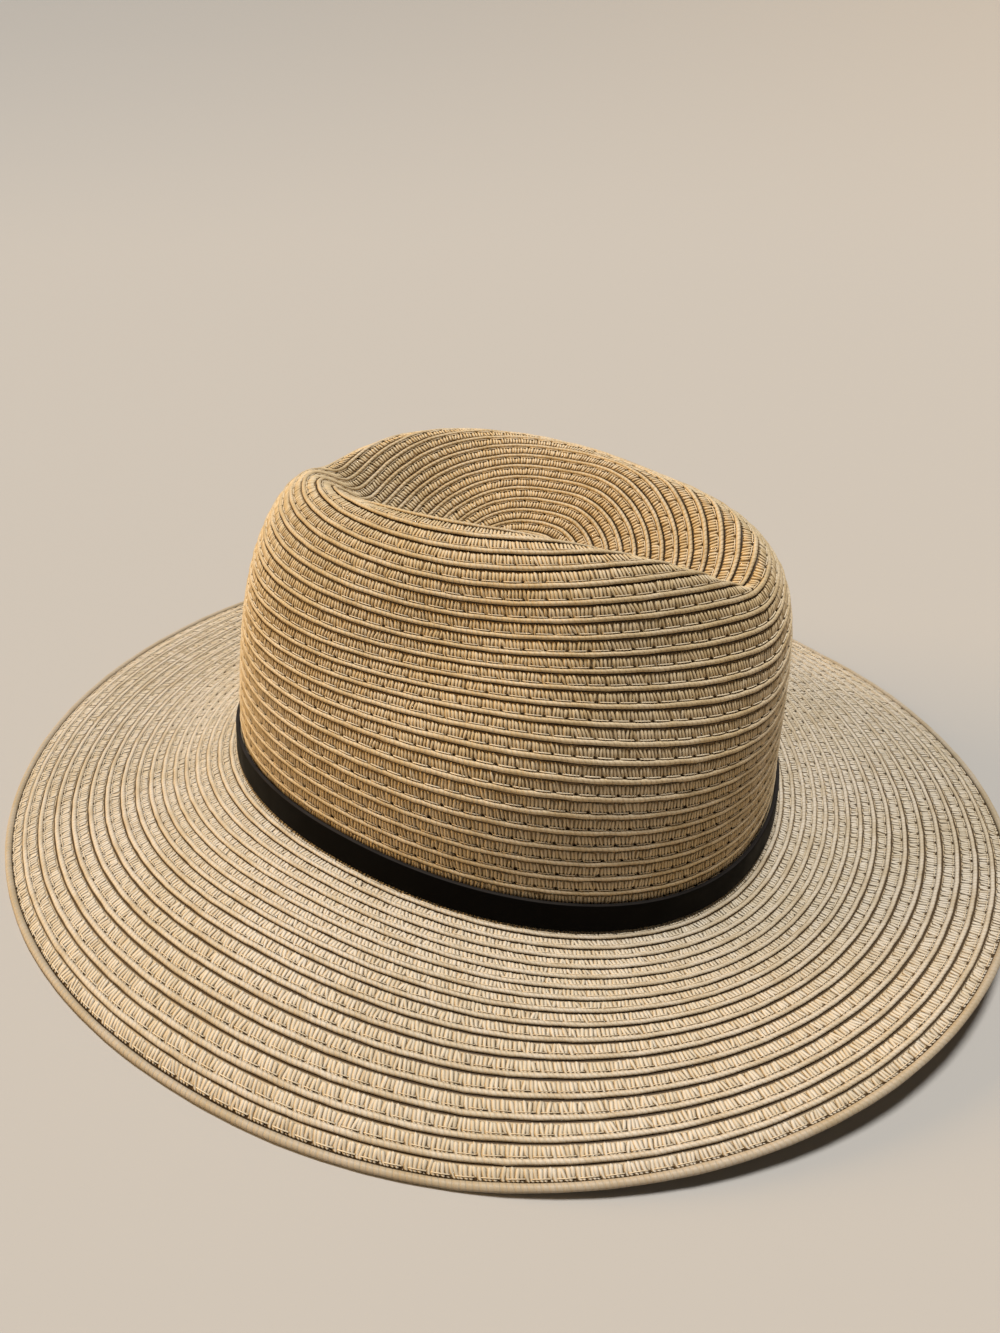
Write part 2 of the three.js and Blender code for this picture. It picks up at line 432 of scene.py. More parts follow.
class RowLine:
    """A closed line along a row of braid, measured so that things can be spaced along it."""

    SAMPLES = 1440

    def __init__(self, sheet: Sheet, row: float) -> None:
        """Measures the line.

        Args:
            sheet: The sheet that the line lies on.
            row: The row number, with its fraction.
        """
        self.angles = np.linspace(0, TURN, self.SAMPLES + 1)
        points, _ = sheet.place(self.angles, np.full(self.angles.shape, row))
        self.lengths = lengths_along(points)
        self.total = float(self.lengths[-1])

    def angle_at(self, length: np.ndarray) -> np.ndarray:
        """Gives the angles at distances along the line."""
        return np.interp(np.asarray(length) % self.total, self.lengths, self.angles)

    def turn_per_length(self, angle: np.ndarray) -> np.ndarray:
        """Gives how far the angle turns for each millimetre along the line.

        Args:
            angle: Angles near which it is measured.

        Returns:
            The turns, in radians for each millimetre.
        """
        step = TURN / 360
        low = np.interp((angle - step) % TURN, self.angles, self.lengths)
        high = np.interp((angle + step) % TURN, self.angles, self.lengths)
        return 2 * step / np.maximum((high - low) % self.total, 1e-6)


@dataclass(frozen=True)
class RowSpacing:
    """How evenly numbered rows are spread over the crown and the brim.

    The rows ride up by crown_rise round the shoulder at rise_angle, and sink by rise_far of
    that far from it. They are tilted by crown_tilt on the upper wall, between tilt_low and
    tilt_high rows up, and on the brim they crowd by brim_crowd near the crown.
    """

    crown_rows: float = 36
    crown_phase: float = 0.4
    crown_rise: float = 0.75
    rise_row: float = 12
    rise_spread: float = 5
    rise_angle: float = 300
    rise_width: float = 45
    rise_far: float = 0.9
    crown_tilt: float = 0.8
    tilt_low: float = 9
    tilt_high: float = 32
    tilt_grows: float = 8
    tilt_fades: float = 11
    brim_rows: int = 17
    brim_crowd: float = 1

    def crown_share(self, angle: np.ndarray, row: np.ndarray) -> np.ndarray:
        """Gives the share of the way up the crown at which a row lies.

        Args:
            angle: Angles round the hat.
            row: Row numbers, from the tip downwards.

        Returns:
            Shares, 0 at the lower edge and 1 at the tip.
        """
        up = self.crown_rows + self.crown_phase - row
        away = turn_from(angle, self.rise_angle)
        near = np.exp(-((away / math.radians(self.rise_width)) ** 2))
        near = (1 + self.rise_far) * near - self.rise_far
        swell = np.exp(-(((up - self.rise_row) / self.rise_spread) ** 2))
        fading = (up - self.tilt_high + self.tilt_fades) / self.tilt_fades
        upper = smooth_step((up - self.tilt_low) / self.tilt_grows) * (1 - smooth_step(fading))
        moved = up + self.crown_rise * swell * near + self.crown_tilt * upper * np.sin(away)
        return np.clip(moved / self.crown_rows, 0, 1)

    def brim_share(self, row: np.ndarray) -> np.ndarray:
        """Gives the share of the way across the brim at which a row lies."""
        crowded = self.brim_crowd * np.sin(np.pi * row / self.brim_rows) ** 2
        return (row - np.where(row > 0, crowded, 0)) / self.brim_rows


def crown_sheet(form: HatForm, spacing: RowSpacing) -> Sheet:
    """Lays rows over the crown, evenly by length up each line from its foot to its tip.

    Args:
        form: The form of the hat.
        spacing: How the rows are spread.

    Returns:
        The sheet of the crown's outer surface.
    """
    stations, samples, steps = 720, 480, 10
    angles = np.linspace(0, TURN, stations, endpoint=False)
    travel = np.linspace(0, 1, samples + 1)
    dense = form.crown_point(*np.meshgrid(angles, travel, indexing="ij"))
    lengths = lengths_along(dense)
    tip = 0.1
    first, last = spacing.crown_phase + tip, spacing.crown_rows + spacing.crown_phase
    rows = np.linspace(first, last, int((last - first) * steps) + 1)
    points = np.empty((stations, len(rows), 3))
    for i, angle in enumerate(angles):
        wanted = spacing.crown_share(angle, rows) * lengths[i, -1]
        for axis in range(3):
            points[i, :, axis] = np.interp(wanted, lengths[i], dense[i, :, axis])
    return Sheet(points, first, last)


def brim_sheet(form: HatForm, spacing: RowSpacing) -> Sheet:
    """Lays rows over the upper face of the brim.

    Args:
        form: The form of the hat.
        spacing: How the rows are spread.

    Returns:
        The sheet of the brim's upper surface, which starts a little under the crown.
    """
    stations, steps = 720, 10
    angles = np.linspace(0, TURN, stations, endpoint=False)
    first, last, thinned = -0.4, float(spacing.brim_rows), 1.5
    rows = np.linspace(first, last, int((last - first) * steps) + 1)
    grid_angle, grid_row = np.meshgrid(angles, rows, indexing="ij")
    reach = spacing.brim_share(grid_row) * form.edge_reach(grid_angle)
    points = form.brim_point(grid_angle, reach)
    sheet = Sheet(points, first, last)
    lift = form.thickness / 2 * (1 - smooth_step((grid_row - last + thinned) / thinned))
    return Sheet(points + sheet.normals * lift[..., None], first, last)


# ---------------------------------------------------------------- mesh helpers


@dataclass
class MeshParts:
    """The plain arrays that a mesh is made from."""

    points: np.ndarray
    corners: np.ndarray
    counts: np.ndarray
    bake: np.ndarray
    lay: np.ndarray
    tone: np.ndarray

    @staticmethod
    def joined(parts: list["MeshParts"]) -> "MeshParts":
        """Joins several parts into one.

        Args:
            parts: The parts.

        Returns:
            All of them, in order.
        """
        starts = np.cumsum([0] + [len(p.points) for p in parts[:-1]])
        return MeshParts(
            np.concatenate([p.points for p in parts]),
            np.concatenate([p.corners + start for p, start in zip(parts, starts)]),
            np.concatenate([p.counts for p in parts]),
            np.concatenate([p.bake for p in parts]),
            np.concatenate([p.lay for p in parts]),
            np.concatenate([p.tone for p in parts]),
        )


def deselect_all() -> None:
    """Leaves nothing selected, so that an operator acts only on what is chosen next."""
    bpy.ops.object.select_all(action="DESELECT")


def make_active(obj: bpy.types.Object) -> None:
    """Selects one object alone and makes it active.

    Args:
        obj: The object.
    """
    deselect_all()
    obj.select_set(True)
    bpy.context.view_layer.objects.active = obj


def settle(obj: bpy.types.Object) -> None:
    """Puts a primitive's place, turn and size into its mesh."""
    make_active(obj)
    bpy.ops.object.transform_apply(location=True, rotation=True, scale=True)


def points_of(mesh: bpy.types.Mesh) -> np.ndarray:
    """Reads a mesh's points.

    Args:
        mesh: The mesh.

    Returns:
        The points, in rows of x, y and z.
    """
    points = np.empty(len(mesh.vertices) * 3, np.float32)
    mesh.vertices.foreach_get("co", points)
    return points.reshape(-1, 3).astype(float)


def set_points(mesh: bpy.types.Mesh, points: np.ndarray) -> None:
    """Moves a mesh's points to new places."""
    mesh.vertices.foreach_set("co", points.astype(np.float32).ravel())


def corners_of(mesh: bpy.types.Mesh) -> tuple[np.ndarray, np.ndarray]:
    """Reads a mesh's faces.

    Args:
        mesh: The mesh.

    Returns:
        The points at the corners of all faces in order, and each face's number of corners.
    """
    corners = np.empty(len(mesh.loops), np.int32)
    mesh.loops.foreach_get("vertex_index", corners)
    counts = np.empty(len(mesh.polygons), np.int32)
    mesh.polygons.foreach_get("loop_total", counts)
    return corners, counts


def take_apart(obj: bpy.types.Object) -> tuple[np.ndarray, np.ndarray, np.ndarray]:
    """Reads a modelled object's mesh and deletes the object.

    Args:
        obj: The object.

    Returns:
        Its points, its face corners and the number of corners of each face.
    """
    points = points_of(obj.data)
    corners, counts = corners_of(obj.data)
    mesh = obj.data
    bpy.data.objects.remove(obj)
    bpy.data.meshes.remove(mesh)
    return points, corners, counts


def in_order(points: np.ndarray, corners: np.ndarray,
             counts: np.ndarray) -> tuple[np.ndarray, np.ndarray, np.ndarray]:
    """Numbers points and faces by where they lie, because a sphere's order varies by run.

    Args:
        points: The points, no two of them in one place.
        corners: The face corners.
        counts: The number of corners of each face.

    Returns:
        The same three, in an order that is the same in every run.
    """
    order = np.lexsort(points.T)
    numbers = np.argsort(order)[corners]
    faces = []
    for face in np.split(numbers, np.cumsum(counts)[:-1]):
        first = int(np.argmin(face))
        faces.append([*face[first:], *face[:first]])
    faces.sort()
    return points[order], np.concatenate(faces), np.array([len(face) for face in faces])


def clear_maps(mesh: bpy.types.Mesh) -> None:
    """Takes a primitive's own maps away."""
    for layer in list(mesh.uv_layers):
        mesh.uv_layers.remove(layer)


def set_map(mesh: bpy.types.Mesh, name: str, places: np.ndarray) -> None:
    """Gives a mesh a map with a place for each face corner."""
    layer = mesh.uv_layers.new(name=name, do_init=False)
    layer.uv.foreach_set("vector", places.astype(np.float32).ravel())


def object_from(name: str, parts: MeshParts) -> bpy.types.Object:
    """Makes a smooth object from arrays, with its maps and tones.

    Args:
        name: The piece's name.
        parts: The arrays, in millimetres.

    Returns:
        The new object, at the origin.
    """
    mesh = bpy.data.meshes.new(name)
    mesh.vertices.add(len(parts.points))
    set_points(mesh, parts.points * MM)
    mesh.loops.add(len(parts.corners))
    mesh.loops.foreach_set("vertex_index", parts.corners.astype(np.int32))
    mesh.polygons.add(len(parts.counts))
    starts = np.concatenate([[0], np.cumsum(parts.counts)[:-1]]).astype(np.int32)
    mesh.polygons.foreach_set("loop_start", starts)
    mesh.polygons.foreach_set("use_smooth", np.ones(len(starts), bool))
    mesh.update(calc_edges=True)
    set_map(mesh, BAKE_MAP, parts.bake)
    set_map(mesh, LAY_MAP, parts.lay)
    tones = mesh.attributes.new(TONE, "FLOAT", "POINT")
    tones.data.foreach_set("value", parts.tone.astype(np.float32))
    obj = bpy.data.objects.new(name, mesh)
    bpy.context.collection.objects.link(obj)
    return obj


def wrapped(around: np.ndarray, counts: np.ndarray) -> np.ndarray:
    """Keeps each face that crosses the start of a turn whole on its map.

    Args:
        around: The shares of a turn, from 0 to 1, of all face corners in order.
        counts: The number of corners of each face.

    Returns:
        The shares, where corners just past the start count as past the end.
    """
    high = np.repeat(np.maximum.reduceat(around, np.cumsum(counts) - counts), counts)
    return around + np.where(high - around > 0.5, 1, 0)


@dataclass
class Ring:
    """A torus, known by how far each point is round the hat and round the cord."""

    segments: int
    round_hat: np.ndarray
    round_cord: np.ndarray
    corners: np.ndarray
    counts: np.ndarray

    @staticmethod
    def modelled(segments: int, sides: int) -> "Ring":
        """Models a torus and takes it apart.

        Args:
            segments: How many segments it has round the hat.
            sides: How many sides the cord has.

        Returns:
            The ring, with the shares of a turn round the hat and the angles round the cord.
        """
        deselect_all()
        bpy.ops.mesh.primitive_torus_add(
            major_segments=segments, minor_segments=sides, major_radius=2, minor_radius=1
        )
        points, corners, counts = take_apart(bpy.context.object)
        round_hat = (np.arctan2(points[:, 1], points[:, 0]) % TURN) / TURN
        round_cord = np.arctan2(points[:, 2], np.hypot(points[:, 0], points[:, 1]) - 2)
        return Ring(segments, round_hat, round_cord, corners, counts)

    def laid(self, points: np.ndarray, total: float, tone: np.ndarray, fill: float) -> MeshParts:
        """Gives the ring its points and its maps.

        Args:
            points: The points, laid along their line.
            total: The length of the line.
            tone: The points' tones.
            fill: How much of the height of the bake map the cord takes up.

        Returns:
            The cord, with a map to bake on and one of millimetres along and turns round.
        """
        at_hat = wrapped(self.round_hat[self.corners], self.counts)
        at_cord = wrapped((self.round_cord % TURN / TURN)[self.corners], self.counts)
        bake = np.stack([at_hat / (1 + 1 / self.segments), at_cord * fill], 1)
        lay = np.stack([at_hat * total, at_cord], 1)
        return MeshParts(points, self.corners, self.counts, bake, lay, tone)


# ---------------------------------------------------------------- repeated straws


@dataclass
class Straw:
    """One short straw, modelled once: x runs along the row, y up across it, z outwards."""

    points: np.ndarray
    corners: np.ndarray
    counts: np.ndarray
    bake: np.ndarray

    @staticmethod
    def modelled(stations: tuple[float, ...]) -> "Straw":
        """Models a three-sided spindle with a flat back.

        Args:
            stations: Where its rings lie along its length, from 0 at its lower tip to 1 at
                its upper tip.

        Returns:
            The spindle, from y = 0 to y = 1 and from x = -0.5 to x = 0.5, with its ridge at
            z = 1 and its back at z = 0.
        """
        deselect_all()
        bpy.ops.mesh.primitive_uv_sphere_add(
            segments=3, ring_count=len(stations) - 1, radius=1, rotation=(-math.pi / 2, 0, 0)
        )
        spindle = bpy.context.object
        settle(spindle)
        points, corners, counts = take_apart(spindle)
        ring = np.round(np.arccos(points[:, 1].clip(-1, 1)) / math.pi * (len(stations) - 1))
        tips = np.hypot(points[:, 0], points[:, 2]) < 1e-4
        sides = np.arctan2(points[:, 0], points[:, 2])
        turned = sides - sides[int(np.argmax(points[:, 2]))]
        shaped = np.zeros_like(points)
        shaped[:, 0] = np.where(tips, 0, np.sin(turned) / math.sin(TURN / 3) / 2).round(6)
        shaped[:, 1] = np.array(stations)[::-1][ring.astype(int)]
        shaped[:, 2] = np.where(tips, 0.5, (np.cos(turned) > 0).astype(float))
        shaped, corners, counts = in_order(shaped, corners, counts)
        return Straw(shaped, corners, counts, Straw.cell_map(shaped, corners, counts))

    @staticmethod
    def cell_map(points: np.ndarray, corners: np.ndarray, counts: np.ndarray) -> np.ndarray:
        """Lays the spindle's two shown sides and its back as strips in a unit cell.

        Args:
            points: The spindle's points.
            corners: Its face corners.
            counts: The number of corners of each face.

        Returns:
            A place in the cell for each corner.
        """
        strips = {"left": (0.03, 0.44), "right": (0.47, 0.88), "back": (0.91, 0.97)}
        places = np.zeros((len(corners), 2))
        start = 0
        for count in counts:
            own = slice(start, start + count)
            face = points[corners[own]]
            ring = face[abs(face[:, 2] - 0.5) > 0.1]
            back = ring[:, 2].max() < 0.5
            side = "back" if back else ("left" if ring[:, 0].min() < -0.1 else "right")
            low, high = strips[side]
            from_x, to_x = {"left": (-0.5, 0), "right": (0, 0.5), "back": (-0.5, 0.5)}[side]
            share = np.where(
                abs(face[:, 2] - 0.5) > 0.1, (face[:, 0] - from_x) / (to_x - from_x), 0.5
            )
            places[own, 0] = low + share * (high - low)
            places[own, 1] = 0.03 + 0.94 * face[:, 1]
            start += count
        return places


def stamp(sheet: Sheet, straw: Straw, angle: np.ndarray, row: np.ndarray, out: np.ndarray,
          along: np.ndarray, tone: np.ndarray) -> MeshParts:
    """Lays copies of a straw on a sheet.

    Args:
        sheet: The sheet.
        straw: The straw that is copied.
        angle: For each copy, the angles of its points.
        row: The row numbers of its points.
        out: How far its points stand out from the sheet.
        along: The copies' places along their rows, for the finish.
        tone: The copies' tones.

    Returns:
        The joined copies.
    """
    copies, size = angle.shape
    points, normals = sheet.place(angle, row)
    points = (points + normals * out[..., None]).reshape(-1, 3)
    corners = (straw.corners[None, :] + size * np.arange(copies)[:, None]).ravel()
    counts = np.tile(straw.counts, copies)
    across = math.ceil(math.sqrt(copies))
    cell = np.stack([np.arange(copies) % across, np.arange(copies) // across], 1)
    bake = (cell[:, None, :] + straw.bake[None, :, :]) / across
    local = straw.points[straw.corners]
    lay = np.stack([along[:, None] + local[None, :, 0], np.tile(local[:, 1], (copies, 1))], -1)
    return MeshParts(points, corners, counts, bake.reshape(-1, 2), lay.reshape(-1, 2),
                     np.repeat(tone, size))


@dataclass(frozen=True)
class Waves:
    """Gentle waves of several rough lengths, in millimetres, and the size of their sum."""

    size: float
    lengths: tuple[float, ...]

    def along(self, share: np.ndarray, total: float, random: np.random.Generator) -> np.ndarray:
        """Adds up the waves along a closed line, each with a random start.

        Args:
            share: Shares of the way along the line.
            total: The line's length.
            random: The random numbers.

        Returns:
            Values of about -size to size, which close on themselves.
        """
        whole = [1 / max(round(total / length), 1) for length in self.lengths]
        starts = random.uniform(0, TURN, len(whole))
        summed = sum(np.sin(TURN * share / part + start) for part, start in zip(whole, starts))
        return self.size * (summed / math.sqrt(len(whole)))


class Region(Enum):
    """The two sewn parts of the hat, which share one kind of braid."""

    CROWN = "crown"
    BRIM = "brim"


@dataclass(frozen=True)
class LoopRing:
    """A loop at one height: its width, ridge and sideways bend, and how far stitches press it."""

    up: float
    width: float
    ridge: float
    bend: float
    pressed: float


@dataclass(frozen=True)
class LoopShape:
    """The shape of one loop; foot and top are heights above the row's lower edge, in rows.

    waist is its width where the thread holds it, crest is the height of its ridge, thin is
    the least that it stands above its flat back, and sink is how deep that back lies.
    """

    width: float = 1.2
    foot: float = 0.2
    top: float = 0.955
    waist: float = 0.55
    crest: float = 0.27
    thin: float = 0.03
    sink: float = 0.17

    def rings(self) -> tuple[LoopRing, ...]:
        """Lists the loop's shape at its rings, from foot to top.

        Returns:
            The rings, with widths as shares of the loop's width.
        """
        return (
            LoopRing(up=0, width=0, ridge=0.1, bend=0.55, pressed=0.5),
            LoopRing(up=0.1, width=self.waist, ridge=0.6 * self.crest, bend=0.34, pressed=0.9),
            LoopRing(up=0.21, width=self.waist, ridge=0.04, bend=0.08, pressed=1),
            LoopRing(up=0.4, width=1, ridge=self.crest, bend=0, pressed=0.2),
            LoopRing(up=0.88, width=0.98, ridge=self.crest, bend=-0.1, pressed=0),
            LoopRing(up=1, width=0, ridge=0, bend=-0.3, pressed=0),
        )


@dataclass(frozen=True)
class LoopPlay:
    """How unevenly loops lie.

    spacing is a share of their pitch, tangle and lean are slopes, narrow and wide bound the
    width, short and tall change the top, lift and lift_waves are heights, and tone is the
    spread of their shades. Within stitch_reach of a stitch they are pushed aside by
    stitch_push and down by stitch_dip. row_width turns slopes into millimetres.
    """

    spacing: float = 0.1
    tangle: float = 0.08
    lean: Waves = Waves(0.13, (9, 21, 37))
    narrow: float = 0.88
    wide: float = 1.12
    short: float = -0.05
    tall: float = 0.03
    lift: float = 0.07
    lift_waves: Waves = Waves(0.05, (15, 40))
    tone: float = 0.26
    stitch_reach: float = 0.65
    stitch_push: float = 0.4
    stitch_dip: float = 0.42
    row_width: float = 4.6


@dataclass(frozen=True)
class CordShape:
    """The smooth cord of a row: its size, how it waves, and how it is cut into faces.

    rise is how far its middle stands out from the sheet, swell is a share of its radius, and
    drift, lift and swell change it along its length. place is a share of the row.
    """

    place: float = 0.835
    radius: float = 0.68
    height: float = 0.52
    rise: float = 0.16
    drift: Waves = Waves(0.07, (9, 17, 31))
    lift: Waves = Waves(0.05, (11, 23))
    swell: Waves = Waves(0.06, (7, 13))
    tone: Waves = Waves(0.5, (14, 29, 61))
    step: float = 2.8
    sides: int = 6
    bake_fill: float = 0.82


@dataclass(frozen=True)
class ThreadShape:
    """The sewing thread: its stitches' pitch, size and place, and how unevenly they lie.

    place is a share of the row, spacing is a share of the pitch, and cover is how much of
    the pitch a stitch takes. thick is its height, and slant the most it drifts across.
    """

    pitch: float = 6.1
    width: float = 0.38
    thick: float = 0.34
    place: float = 0.63
    cover: float = 0.92
    spacing: float = 0.05
    slant: float = 0.14
    tone: float = 0.35
    tone_spread: float = 0.25


@dataclass(frozen=True)
class WallShape:
    """The wall under the braid, with a groove under each cord.

    rows bounds it across the sheet, and depth is how far it lies below the loops' backs.
    """

    rows: tuple[float, float]
    columns: int
    steps_in_row: int = 3
    thickness: float = 1.1
    depth: float = 0.05
    groove: float = 0.3


@dataclass
class Braid:
    """Rows of sewn braid on one sheet, in millimetres.

    Places across a row are shares of it, from its upper or inner edge.
    """

    region: Region
    sheet: Sheet
    rows: range
    cord_rows: range
    wall: WallShape
    seed: int
    loop_pieces: int = 2
    loop_pitch: float = 1.1
    loop_line: float = 0.4
    loop: LoopShape = LoopShape()
    play: LoopPlay = LoopPlay()
    cord: CordShape = CordShape()
    thread: ThreadShape = ThreadShape()
    random: np.random.Generator = field(init=False)
    holes: dict[int, float] = field(init=False)
    pieces: list[bpy.types.Object] = field(default_factory=list)

    def __post_init__(self) -> None:
        """Starts the random numbers, and places each row's first stitch."""
        self.random = np.random.default_rng(self.seed)
        self.holes = {row: self.random.uniform(0, self.thread.pitch) for row in self.rows}

    def build(self) -> None:
        """Builds the wall, the cords, the loops and the thread."""
        self.pieces = [self.build_wall(), self.build_cords(), *self.build_loops(),
                       self.build_thread()]
        for piece in self.pieces:
            log.info("%s: %d faces", piece.name, len(piece.data.polygons))

    def named(self, part: str) -> str:
        """Gives the name of a piece of this region."""
        return f"{self.region.value}_{part}"

    def stitches_in(self, line: RowLine) -> int:
        """Gives the whole number of stitches in a row."""
        return max(round(line.total / self.thread.pitch), 1)

    def build_wall(self) -> bpy.types.Object:
        """Models the wall under the braid, whose inner face shows the backs of the rows.

        Returns:
            The wall, with its outer faces in material slot 0 and its inner ones in slot 1.
        """
        first, last = self.wall.rows
        steps = round((last - first) * self.wall.steps_in_row)
        deselect_all()
        bpy.ops.mesh.primitive_grid_add(
            x_subdivisions=self.wall.columns, y_subdivisions=steps, size=2
        )
        wall = bpy.context.object
        wall.name = self.named("wall")
        wall.data.name = wall.name
        flat = points_of(wall.data)
        self.map_wall(wall, flat)
        set_points(wall.data, self.wall_points(flat) * MM)
        wall.data.update()
        make_active(wall)
        bpy.ops.object.mode_set(mode="EDIT")
        bpy.ops.mesh.select_all(action="SELECT")
        bpy.ops.mesh.remove_doubles(threshold=WELD)
        bpy.ops.mesh.select_all(action="DESELECT")
        bpy.ops.object.mode_set(mode="OBJECT")
        if self.region is Region.CROWN:
            self.close_tip(wall)
        thick = wall.modifiers.new("wall", "SOLIDIFY")
        thick.thickness = self.wall.thickness * MM
        thick.offset = -1
        thick.use_even_offset = False
        thick.material_offset = 1
        wall.data.materials.append(None)
        wall.data.materials.append(None)
        bpy.ops.object.modifier_apply(modifier=thick.name)
        bpy.ops.object.shade_smooth()
        self.split_map(wall)
        points = points_of(wall.data)
        points[:, 2] = points[:, 2].clip(GROUND_GAP)
        set_points(wall.data, points)
        return wall

    def wall_points(self, flat: np.ndarray) -> np.ndarray:
        """Lays the wall's grid under the braid, with a groove under each cord.

        Args:
            flat: The points of a square grid 2 wide.

        Returns:
            The points, in millimetres, whose two ends meet.
        """
        first, last = self.wall.rows
        row = last - (flat[:, 1] + 1) / 2 * (last - first)
        angle = (flat[:, 0] + 1) / 2 * TURN
        angle = np.where(angle > TURN - 1e-4, 0, angle)
        points, normals = self.sheet.place(angle, row)
        under_cord = 0.5 - 0.5 * np.cos(TURN * (row - self.cord.place + 0.5))
        sunk = self.loop.sink + self.wall.depth + self.wall.groove * under_cord**2
        return points - normals * sunk[:, None]

    def close_tip(self, wall: bpy.types.Object) -> None:
        """Closes the small ring at the crown's tip with a fan of faces.

        Args:
            wall: The crown's wall, still one face thick.
        """
        tip_reach = 4 * MM
        bpy.ops.object.mode_set(mode="EDIT")
        bpy.ops.mesh.select_non_manifold()
        bpy.ops.object.mode_set(mode="OBJECT")
        tip = self.sheet.points[:, 0].mean(0) * MM
        at_tip = np.linalg.norm(points_of(wall.data) - tip, axis=1) < tip_reach
        for vertex, near in zip(wall.data.vertices, at_tip):
            vertex.select = bool(near and vertex.select)
        for edge in wall.data.edges:
            edge.select = all(wall.data.vertices[i].select for i in edge.vertices)
        bpy.ops.object.mode_set(mode="EDIT")
        bpy.ops.mesh.select_mode(type="EDGE")
        bpy.ops.mesh.edge_face_add()
        bpy.ops.object.mode_set(mode="OBJECT")

    def map_wall(self, wall: bpy.types.Object, flat: np.ndarray) -> None:
        """Gives the wall its maps: one to bake on, and one that follows the braid.

        Args:
            wall: The wall, still a flat grid.
            flat: The grid's points.
        """
        mesh = wall.data
        clear_maps(mesh)
        corners, counts = corners_of(mesh)
        at = (flat[corners, :2] + 1) / 2
        set_map(mesh, BAKE_MAP, at)
        first, last = self.wall.rows
        row = last - at[:, 1] * (last - first)
        middles = np.add.reduceat(row, np.cumsum(counts) - counts) / counts
        whole = np.repeat(np.floor(middles), counts)
        along = np.empty(len(at))
        for number in np.unique(whole):
            line = self.sheet.row_line(min(max(number + 0.5, first), last))
            own = whole == number
            length = np.interp(at[own, 0] * TURN, line.angles, line.lengths)
            along[own] = length / line.total * self.stitches_in(line)
        set_map(mesh, LAY_MAP, np.stack([along, row], 1))

    @staticmethod
    def split_map(wall: bpy.types.Object) -> None:
        """Moves the inner faces to their own half of the bake map.

        Args:
            wall: The wall, with both its faces.
        """
        margin, half = 0.005, 0.5
        mesh = wall.data
        _, counts = corners_of(mesh)
        slots = np.empty(len(mesh.polygons), np.int32)
        mesh.polygons.foreach_get("material_index", slots)
        inner = np.repeat(slots, counts) > 0
        layer = mesh.uv_layers[BAKE_MAP]
        places = np.empty(len(mesh.loops) * 2, np.float32)
        layer.uv.foreach_get("vector", places)
        places = places.reshape(-1, 2)
        places[:, 0] = margin + (half - 2 * margin) * places[:, 0] + np.where(inner, half, 0)
        layer.uv.foreach_set("vector", places.ravel())

    def build_cords(self) -> bpy.types.Object:
        """Models the smooth cord of each row, a ring laid along the row's lower edge.

        Returns:
            All the cords, joined.
        """
        rings = []
        for index, row in enumerate(self.cord_rows):
            ring = self.cord_ring(row + self.cord.place)
            ring.bake[:, 1] = (index + ring.bake[:, 1]) / len(self.cord_rows)
            rings.append(ring)
        return object_from(self.named("cords"), MeshParts.joined(rings))

    def cord_ring(self, row: float) -> MeshParts:
        """Makes one cord: a torus whose turns are laid along the row.

        Args:
            row: The row number of the cord's middle.

        Returns:
            The cord, with slight waves in its place and thickness.
        """
        cord, fewest = self.cord, 12
        line = self.sheet.row_line(row)
        ring = Ring.modelled(max(round(line.total / cord.step), fewest), cord.sides)
        share = ring.round_hat
        drift, lift, swell = (
            waves.along(share, line.total, self.random)
            for waves in (cord.drift, cord.lift, cord.swell)
        )
        radius = cord.radius * (1 + swell)
        across = (drift + np.cos(ring.round_cord) * radius) / self.row_width(line, row)
        out = cord.rise + lift + np.sin(ring.round_cord) * radius / cord.radius * cord.height
        points, normals = self.sheet.place(line.angle_at(share * line.total), row + across)
        tone = cord.tone.along(share, line.total, self.random)
        return ring.laid(points + normals * out[:, None], line.total, tone, cord.bake_fill)

    def row_width(self, line: RowLine, row: float) -> float:
        """Measures a row's mean width.

        Args:
            line: A line along the row.
            row: The row number of its middle.

        Returns:
            The width, in millimetres.
        """
        rows = np.array([row - 0.5, row + 0.5]).clip(self.sheet.first_row, self.sheet.last_row)
        edges = [self.sheet.place(line.angles, np.full(line.angles.shape, r))[0] for r in rows]
        widths = np.linalg.norm(edges[1] - edges[0], axis=1)
        return float(widths.mean() / (rows[1] - rows[0]))

    def build_loops(self) -> list[bpy.types.Object]:
        """Lays the loops of every row, and shares them out over a few pieces.

        Returns:
            The pieces, from the first rows to the last.
        """
        straw = Straw.modelled(tuple(ring.up for ring in self.loop.rings()))
        made = [self.loops_of(row, straw) for row in self.rows]
        sizes = np.cumsum([len(part.points) for part in made])
        pieces = []
        for index in range(self.loop_pieces):
            low, high = (sizes[-1] * edge / self.loop_pieces for edge in (index, index + 1))
            parts = [p for p, size in zip(made, sizes) if low < size <= high]
            pieces.append(object_from(self.named(f"loops_{index + 1}"), self.packed(parts)))
        return pieces

    @staticmethod
    def packed(parts: list[MeshParts]) -> MeshParts:
        """Joins rows and gives each its own strip of the bake map.

        Args:
            parts: The rows.

        Returns:
            All the rows.
        """
        heights = np.array([math.sqrt(len(p.points)) for p in parts])
        shares = np.concatenate([[0], np.cumsum(heights) / heights.sum()])
        for part, low, high in zip(parts, shares[:-1], shares[1:]):
            part.bake[:, 1] = low + part.bake[:, 1] * (high - low)
        return MeshParts.joined(parts)

